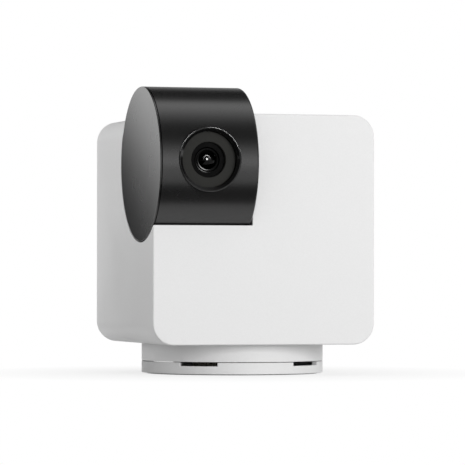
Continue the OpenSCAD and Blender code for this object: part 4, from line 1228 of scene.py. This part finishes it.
def run_leads(name, radius, *routes):
    """Round leads. A route is a list of points in mm, each with the way to its handle before and after it."""
    tubes = []
    for route in routes:
        bpy.ops.object.select_all(action="DESELECT")
        bpy.ops.curve.primitive_bezier_curve_add(location=(0, 0, 0))
        tube = bpy.context.object
        points = tube.data.splines[0].bezier_points
        points.add(len(route) - len(points))
        for point, (place, before, after) in zip(points, route):
            point.handle_left_type = point.handle_right_type = "FREE"
            point.co = Vector(place) * MM
            point.handle_left = (Vector(place) + Vector(before)) * MM
            point.handle_right = (Vector(place) + Vector(after)) * MM
        tube.data.resolution_u = LEAD_STEPS
        tube.data.bevel_depth = radius
        tube.data.bevel_resolution = LEAD_ROUND
        tube.data.use_fill_caps = True
        bpy.ops.object.convert(target="MESH")
        tubes.append(named(name))
    return joined(tubes, name)


def bend(start, leave_way, end, arrive_way):
    """A route of one bend, from a point along one way to another point that it meets from the other way."""
    back = [-v for v in leave_way]
    return [(start, back, leave_way), (end, arrive_way, [-v for v in arrive_way])]


head_lead = run_leads("head_lead", CABLE_R, [
    ((-21.3, -27.6, 70.65), (0, -5, 0), (0, 5, 0)), ((-6.4, -21.9, 69.9), (-9, 0, 0), (3, 0, 0)),
    ((3.25, -21.9, 69.9), (-3, 0, 0), (3, 0, 0))])
finish_piece(head_lead, "camera_head", "head_cable")
body_lead = run_leads("body_lead", CABLE_R, [
    ((3.35, -21.9, 69.9), (-4, 0, 0), (4, 0, 0)), ((18.0, -21.9, 69.9), (-4, 0, 0), (5, 0, 0)),
    ((23.8, -17.9, 71.2), (-5, 0, 0), (5, 0, 0))])
finish_piece(body_lead, "camera_body", "body_cable")
motor_wires = run_leads(
    "motor_wires", WIRE_R,
    bend((-6.95, -11.95, 25.4), (0, 0, 9), (23.8, -17.9, 21.2), (-9, 0, 0)),
    bend((11.55, -10.94, 68.94), (0, 0, 5), (23.8, 0.1, 71.2), (-5, 0, 0)))
finish_piece(motor_wires, "camera_body", "motor_leads")
board_wires = run_leads(
    "board_wires", WIRE_R,
    bend((5.0, 17.5, 17.2), (0, 0, 9), (23.8, 0.1, 21.2), (-9, 0, 0)),
    bend((11.2, 30.0, 53.4), (0, -9, 0), (23.8, 18.1, 21.2), (-9, 0, 0)),
    bend((13.6, 30.5, 83.2), (0, 0, -5), (23.8, 18.1, 71.2), (-5, 0, 0)))
finish_piece(board_wires, "camera_body", "inner_leads")

# %% [markdown]
# ## Soft parts
# The speaker has a foam gasket and a paper cone, and the microphone a rubber boot. They are round but not
# plain, so they are turned with the bulge, the roll and the groove of the real ones.

# %% Turn the soft parts of the speaker and the microphone
GASKET_W = 2 * MM
PAPER = 0.3 * MM
CONE_NECK_R = 4.6 * MM
DUST_CAP = 0.9 * MM
ROLL_R = 0.9 * MM
FLANGE_W = 0.6 * MM
EAR_R = 0.6 * MM
BOOT_GROOVE = 0.5 * MM
BOOT_GROOVE_AT = (0.3, 0.4, 0.6, 0.7)

foam_low, foam_high, foam_r = round_size("speaker_gasket")
foam_mid = (foam_low.y + foam_high.y) / 2
half = (foam_high.y - foam_low.y) / 2
outer_bulge = arc((foam_r - half, foam_mid), half, -90, 90, steps=8)
inner_bulge = arc((foam_r - GASKET_W + half, foam_mid), half, 90, 270, steps=8)
gasket = turned("foam_gasket", outer_bulge + inner_bulge, "Y", at_speaker(0))
finish_piece(gasket, "camera_body", "speaker_gasket")

cone_low, cone_high, cone_r = round_size("speaker_cone")
deep = cone_low.y + PAPER
edge_y = cone_high.y - ROLL_R
dust_cap = crown(CONE_NECK_R, DUST_CAP, deep + DUST_CAP, way=-1, steps=8)
roll = arc((cone_r - FLANGE_W - ROLL_R, edge_y), ROLL_R, 180, 0)
face = dust_cap + roll + [(cone_r, edge_y)]
cone = turned("paper_cone", face + [(r, y - PAPER) for r, y in face[::-1]], "Y", at_speaker(0))
finish_piece(cone, "camera_body", "speaker_cone")

boot_low, boot_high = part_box("microphone_boot")
boot_r = (boot_high.y - boot_low.y) / 2
reach = boot_high.x - boot_low.x
boot_line = Vector((0, ear_y, ear_z))
cuts = [boot_low.x + share * reach for share in BOOT_GROOVE_AT]
boot = turned("rubber_boot", [
    (EAR_R, boot_low.x), (boot_r, boot_low.x), (boot_r, cuts[0]), (boot_r - BOOT_GROOVE, cuts[1]),
    (boot_r - BOOT_GROOVE, cuts[2]), (boot_r, cuts[3]), (boot_r, boot_high.x), (EAR_R, boot_high.x)],
    "X", boot_line, steps=48)
finish_piece(boot, "camera_body", "microphone_boot")

# %% [markdown]
# ## Finishes
# A finish says how a surface was made, not only its colour. A moulded plastic has the fine grain that was
# eroded into its mould, and its gloss drifts a little where the plastic flowed. Both could be pictures
# wrapped on the piece, but noise in object coordinates needs no unwrapping and has the right scale
# everywhere: a pattern size in millimetres becomes a noise scale of one over that size.

# %% Moulded plastics, rubber and foam
FLOW_SIZE = 14 * MM
GRAIN = 0.45 * MM
SHALLOW = 0.004 * MM
POLISHED = 0.0003 * MM
GREYED = 0.94


def greyed(colour):
    """A hex colour in linear light, a shade darker."""
    return [c * GREYED for c in srgb(colour)[:3]] + [1.0]


def moulded(name, colour, roughness, grain, depth, drift=0.03, ior=1.53, specular=0.5):
    """Moulded plastic or rubber: grain is the size of the mould's texture in metres, and depth its height."""
    material, tree = new_finish(name)
    place = add(tree, "TexCoord").outputs["Object"]
    flow = add(tree, "TexNoise", {"Vector": place, "Scale": 1 / FLOW_SIZE, "Detail": 2.0})
    pits = add(tree, "TexNoise", {"Vector": place, "Scale": 1 / grain, "Detail": 3.0})
    tint = add(tree, "MixRGB", {"Fac": pits, "Color1": srgb(colour), "Color2": greyed(colour)})
    gloss = add(tree, "MapRange", {"Value": flow, "From Min": 0.3, "From Max": 0.7,
                                   "To Min": roughness - drift, "To Max": roughness + drift})
    bump = add(tree, "Bump", {"Height": pits, "Distance": depth, "Strength": 1.0})
    skin = add(tree, "BsdfPrincipled", {"Base Color": tint, "Roughness": gloss, "IOR": ior,
                                        "Specular IOR Level": specular, "Normal": bump})
    add(tree, "OutputMaterial", {"Surface": skin})
    return material


finishes = {
    # White ABS with a fine eroded grain: even, soft highlights. The real grain is finer than a pixel, so it
    # is drawn coarser.
    "shell_white": moulded("white_abs", "e9e9e9", 0.46, GRAIN, SHALLOW),
    "foot_white": moulded("white_abs_foot", "e9e9e9", 0.44, GRAIN, SHALLOW),
    # Black polycarbonate with a satin gloss: it shows the room as soft bands.
    "head_black": moulded("satin_black_polycarbonate", "161616", 0.27, GRAIN, POLISHED,
                          drift=0.006, ior=1.58),
    # The same plastic from a polished mould: a dark, sharp gloss.
    "bezel_black": moulded("gloss_black_polycarbonate", "080808", 0.13, 2 * GRAIN, POLISHED,
                           drift=0.02, ior=1.58),
    # Smoked acrylic with a matt face, which passes infrared and looks dark and dull.
    "window_black": moulded("smoked_acrylic", "282826", 0.55, GRAIN, SHALLOW,
                            drift=0.03, ior=1.49, specular=0.25),
    # Acetal from a gear mould: waxy, creamy white.
    "gear_white": moulded("natural_acetal", "ded9cb", 0.38, GRAIN, SHALLOW, drift=0.04, ior=1.48),
    # Nylon connector housings and epoxy chip packages: dull, with a visible grain.
    "connector_cream": moulded("nylon_housing", "e4dcc6", 0.50, GRAIN, 2 * SHALLOW, drift=0.05),
    "chip_black": moulded("chip_epoxy", "232323", 0.62, 0.3 * MM, 2 * SHALLOW, drift=0.05),
    "speaker_black": moulded("black_abs", "2a2a2a", 0.50, GRAIN, 2 * SHALLOW, drift=0.05),
    # Pale grey ABS for the grille and the key, a shade under the body.
    "grille_grey": moulded("pale_grey_abs", "cfcfcf", 0.48, GRAIN, SHALLOW),
    "button_grey": moulded("pale_grey_abs_key", "c6c6c6", 0.42, GRAIN, SHALLOW),
    # Pale silicone rubber: matt, with a slightly coarser skin.
    "pad_rubber": moulded("silicone_rubber", "b8b8b8", 0.72, 0.6 * MM, 3 * SHALLOW, drift=0.06, ior=1.43),
    # PVC lead insulation: smooth, a little waxy.
    "cable_grey": moulded("pvc_insulation", "3c3c3e", 0.45, 0.8 * MM, SHALLOW, drift=0.05, ior=1.54),
    # Open-cell foam: matt, all pores. Pores are drawn at 0.7 mm, about twice their size, so that they show.
    "foam": moulded("open_cell_foam", "333333", 0.90, 0.7 * MM, 0.15 * MM, drift=0.05, ior=1.4, specular=0.2),
    # Pressed paper for the loudspeaker's cone, with a visible grain.
    "speaker_paper": moulded("pressed_paper", "3a3836", 0.85, 0.5 * MM, 0.02 * MM,
                             drift=0.05, ior=1.45, specular=0.2),
    # Sintered ferrite: dark grey, like fine stone.
    "magnet_grey": moulded("sintered_ferrite", "4a4a4c", 0.55, 0.6 * MM, 0.01 * MM, drift=0.08, ior=1.9),
}
print(len(finishes), "moulded finishes")

# %% [markdown]
# ## Metals
# A metal's look is in how it was worked: turning leaves fine rings, rolling and drawing leave lines, and
# plating softens both. A wave texture draws the lines, and their spacing in metres sets its scale.

# %% Worked metals
WAVES_PER_UNIT = 0.314
CLOUD_SIZE = 3 * MM
GLOSS_SWING = 0.25


def worked_metal(name, colour, roughness, spacing, depth, kind="BANDS", around="Z", centre=(0, 0, 0)):
    """Metal with working lines at a spacing in metres: RINGS about an axis from turning, or BANDS."""
    material, tree = new_finish(name)
    place = add(tree, "TexCoord").outputs["Object"]
    moved = add(tree, "Mapping", {"Vector": place, "Location": [-c for c in centre]})
    lines = add(tree, "TexWave", {"Vector": moved, "Scale": WAVES_PER_UNIT / spacing, "Distortion": 0.6},
                wave_type=kind, rings_direction=around, bands_direction=around).outputs["Fac"]
    cloud = add(tree, "TexNoise", {"Vector": place, "Scale": 1 / CLOUD_SIZE, "Detail": 3.0})
    gloss = add(tree, "MapRange", {"Value": cloud, "From Min": 0.3, "From Max": 0.7,
                                   "To Min": roughness * (1 - GLOSS_SWING),
                                   "To Max": roughness * (1 + GLOSS_SWING)})
    bump = add(tree, "Bump", {"Height": lines, "Distance": depth, "Strength": 1.0})
    tint = add(tree, "MixRGB", {"Fac": cloud, "Color1": srgb(colour), "Color2": greyed(colour)})
    skin = add(tree, "BsdfPrincipled", {"Base Color": tint, "Metallic": 1.0,
                                        "Roughness": gloss, "Normal": bump})
    add(tree, "OutputMaterial", {"Surface": skin})
    return material


finishes.update({
    # Bright zinc on steel screws: pale, with a soft sparkle.
    "steel": worked_metal("zinc_plated_steel", "c9cacc", 0.30, 0.25 * MM, 0.002 * MM),
    # Drawn and nickel-plated motor cans: fine lines under a soft gloss.
    "motor_steel": worked_metal("nickel_plated_can", "c2c1bd", 0.26, 0.35 * MM, 0.003 * MM),
    # Tinned sheet, rolled: greyer and softer.
    "shield_tin": worked_metal("tinned_sheet", "cdcdca", 0.36, 0.5 * MM, 0.003 * MM, "BANDS", "Y"),
    # Turned brass: rings about the tripod thread.
    "insert_brass": worked_metal("turned_brass", "d9b36b", 0.24, 0.3 * MM, 0.003 * MM, "RINGS", "Z"),
    # Black anodised aluminium, turned: dark, with fine rings about the lens.
    "lens_black": worked_metal("black_anodised_aluminium", "0e0e0e", 0.28, 0.3 * MM, 0.003 * MM, "RINGS", "Y",
                               lens_line),
})
print(len(finishes), "finishes with the metals")

# %% [markdown]
# ## Glass, resin and circuit board
# The front element is coated glass, tinted nearly black as a painted shade that stands for the unlit inside of
# the barrel, and its coating mirrors far less than bare glass would. The infrared lamps are clear resin. The
# boards have green mask over copper tracks, which stand up a little under it.

# %% Clear finishes
DUST_SIZE = 1.5 * MM
DULLED = 0.04
COAT_ROUGHNESS = 0.03


def clear_finish(name, colour, ior, roughness, coat_ior=0.0):
    """Glass or clear resin with faint dust that dulls it in patches. A coat mirrors in place of the glass."""
    material, tree = new_finish(name)
    place = add(tree, "TexCoord").outputs["Object"]
    dust = add(tree, "TexNoise", {"Vector": place, "Scale": 1 / DUST_SIZE, "Detail": 4.0})
    gloss = add(tree, "MapRange", {"Value": dust, "From Min": 0.4, "From Max": 0.8,
                                   "To Min": roughness, "To Max": roughness + DULLED})
    look = {"Base Color": srgb(colour), "Roughness": gloss, "IOR": ior, "Transmission Weight": 1.0}
    if coat_ior:
        look.update({"Specular Tint": srgb("000000"), "Coat Weight": 1.0,
                     "Coat Roughness": COAT_ROUGHNESS, "Coat IOR": coat_ior})
    skin = add(tree, "BsdfPrincipled", look)
    add(tree, "OutputMaterial", {"Surface": skin})
    return material


# The near-black tint is painted shade: it darkens the glass in place of the shade inside the barrel.
finishes["lens_glass"] = clear_finish("coated_glass_with_painted_shade", "030303", ior=1.52, roughness=0.0, coat_ior=1.22)
finishes["led_clear"] = clear_finish("clear_epoxy", "f0e8c8", ior=1.54, roughness=0.05)
print(len(finishes), "finishes with the clear ones")

# %% Circuit board
TRACK_PITCH = 1.6 * MM
TRACK_HEIGHT = 0.03 * MM

material, tree = new_finish("green_solder_mask")
place = add(tree, "TexCoord").outputs["Object"]
cells = add(tree, "TexVoronoi", {"Vector": place, "Scale": 1 / TRACK_PITCH, "Randomness": 0.6},
            distance="MANHATTAN", feature="F1").outputs["Distance"]
tracks = add(tree, "MapRange", {"Value": cells, "From Min": 0.34, "From Max": 0.42})
tint = add(tree, "MixRGB", {"Fac": tracks, "Color1": srgb("1d5c38"), "Color2": srgb("12432a")})
bump = add(tree, "Bump", {"Height": tracks, "Distance": TRACK_HEIGHT, "Strength": 1.0}, invert=True)
skin = add(tree, "BsdfPrincipled", {"Base Color": tint, "Roughness": 0.34, "IOR": 1.52,
                                    "Normal": bump})
add(tree, "OutputMaterial", {"Surface": skin})
finishes["board_green"] = material
print(len(finishes), "finishes with the board")

# %% [markdown]
# ## Dress every piece
# The record names a material slot for each engineering piece. A dressed piece takes the slot of the piece it
# stands for, and the pieces inside keep their shapes and get their finish through their object's slots.

# %% Put the finishes on
slot_of = {part["node"]: part["material_slot"] for part in frame["record"]["subparts"]}
for node, piece in made.items():
    slot = slot_of[node]
    piece.data.materials.clear()
    piece.data.materials.append(finishes[slot])
kept = sorted(set(frame["nodes"]) - set(made))
for name in kept:
    for holder in frame["nodes"][name].material_slots:
        holder.material = finishes[slot_of[name]]
print(len(made), "modelled pieces and", len(kept), "engineering pieces dressed")
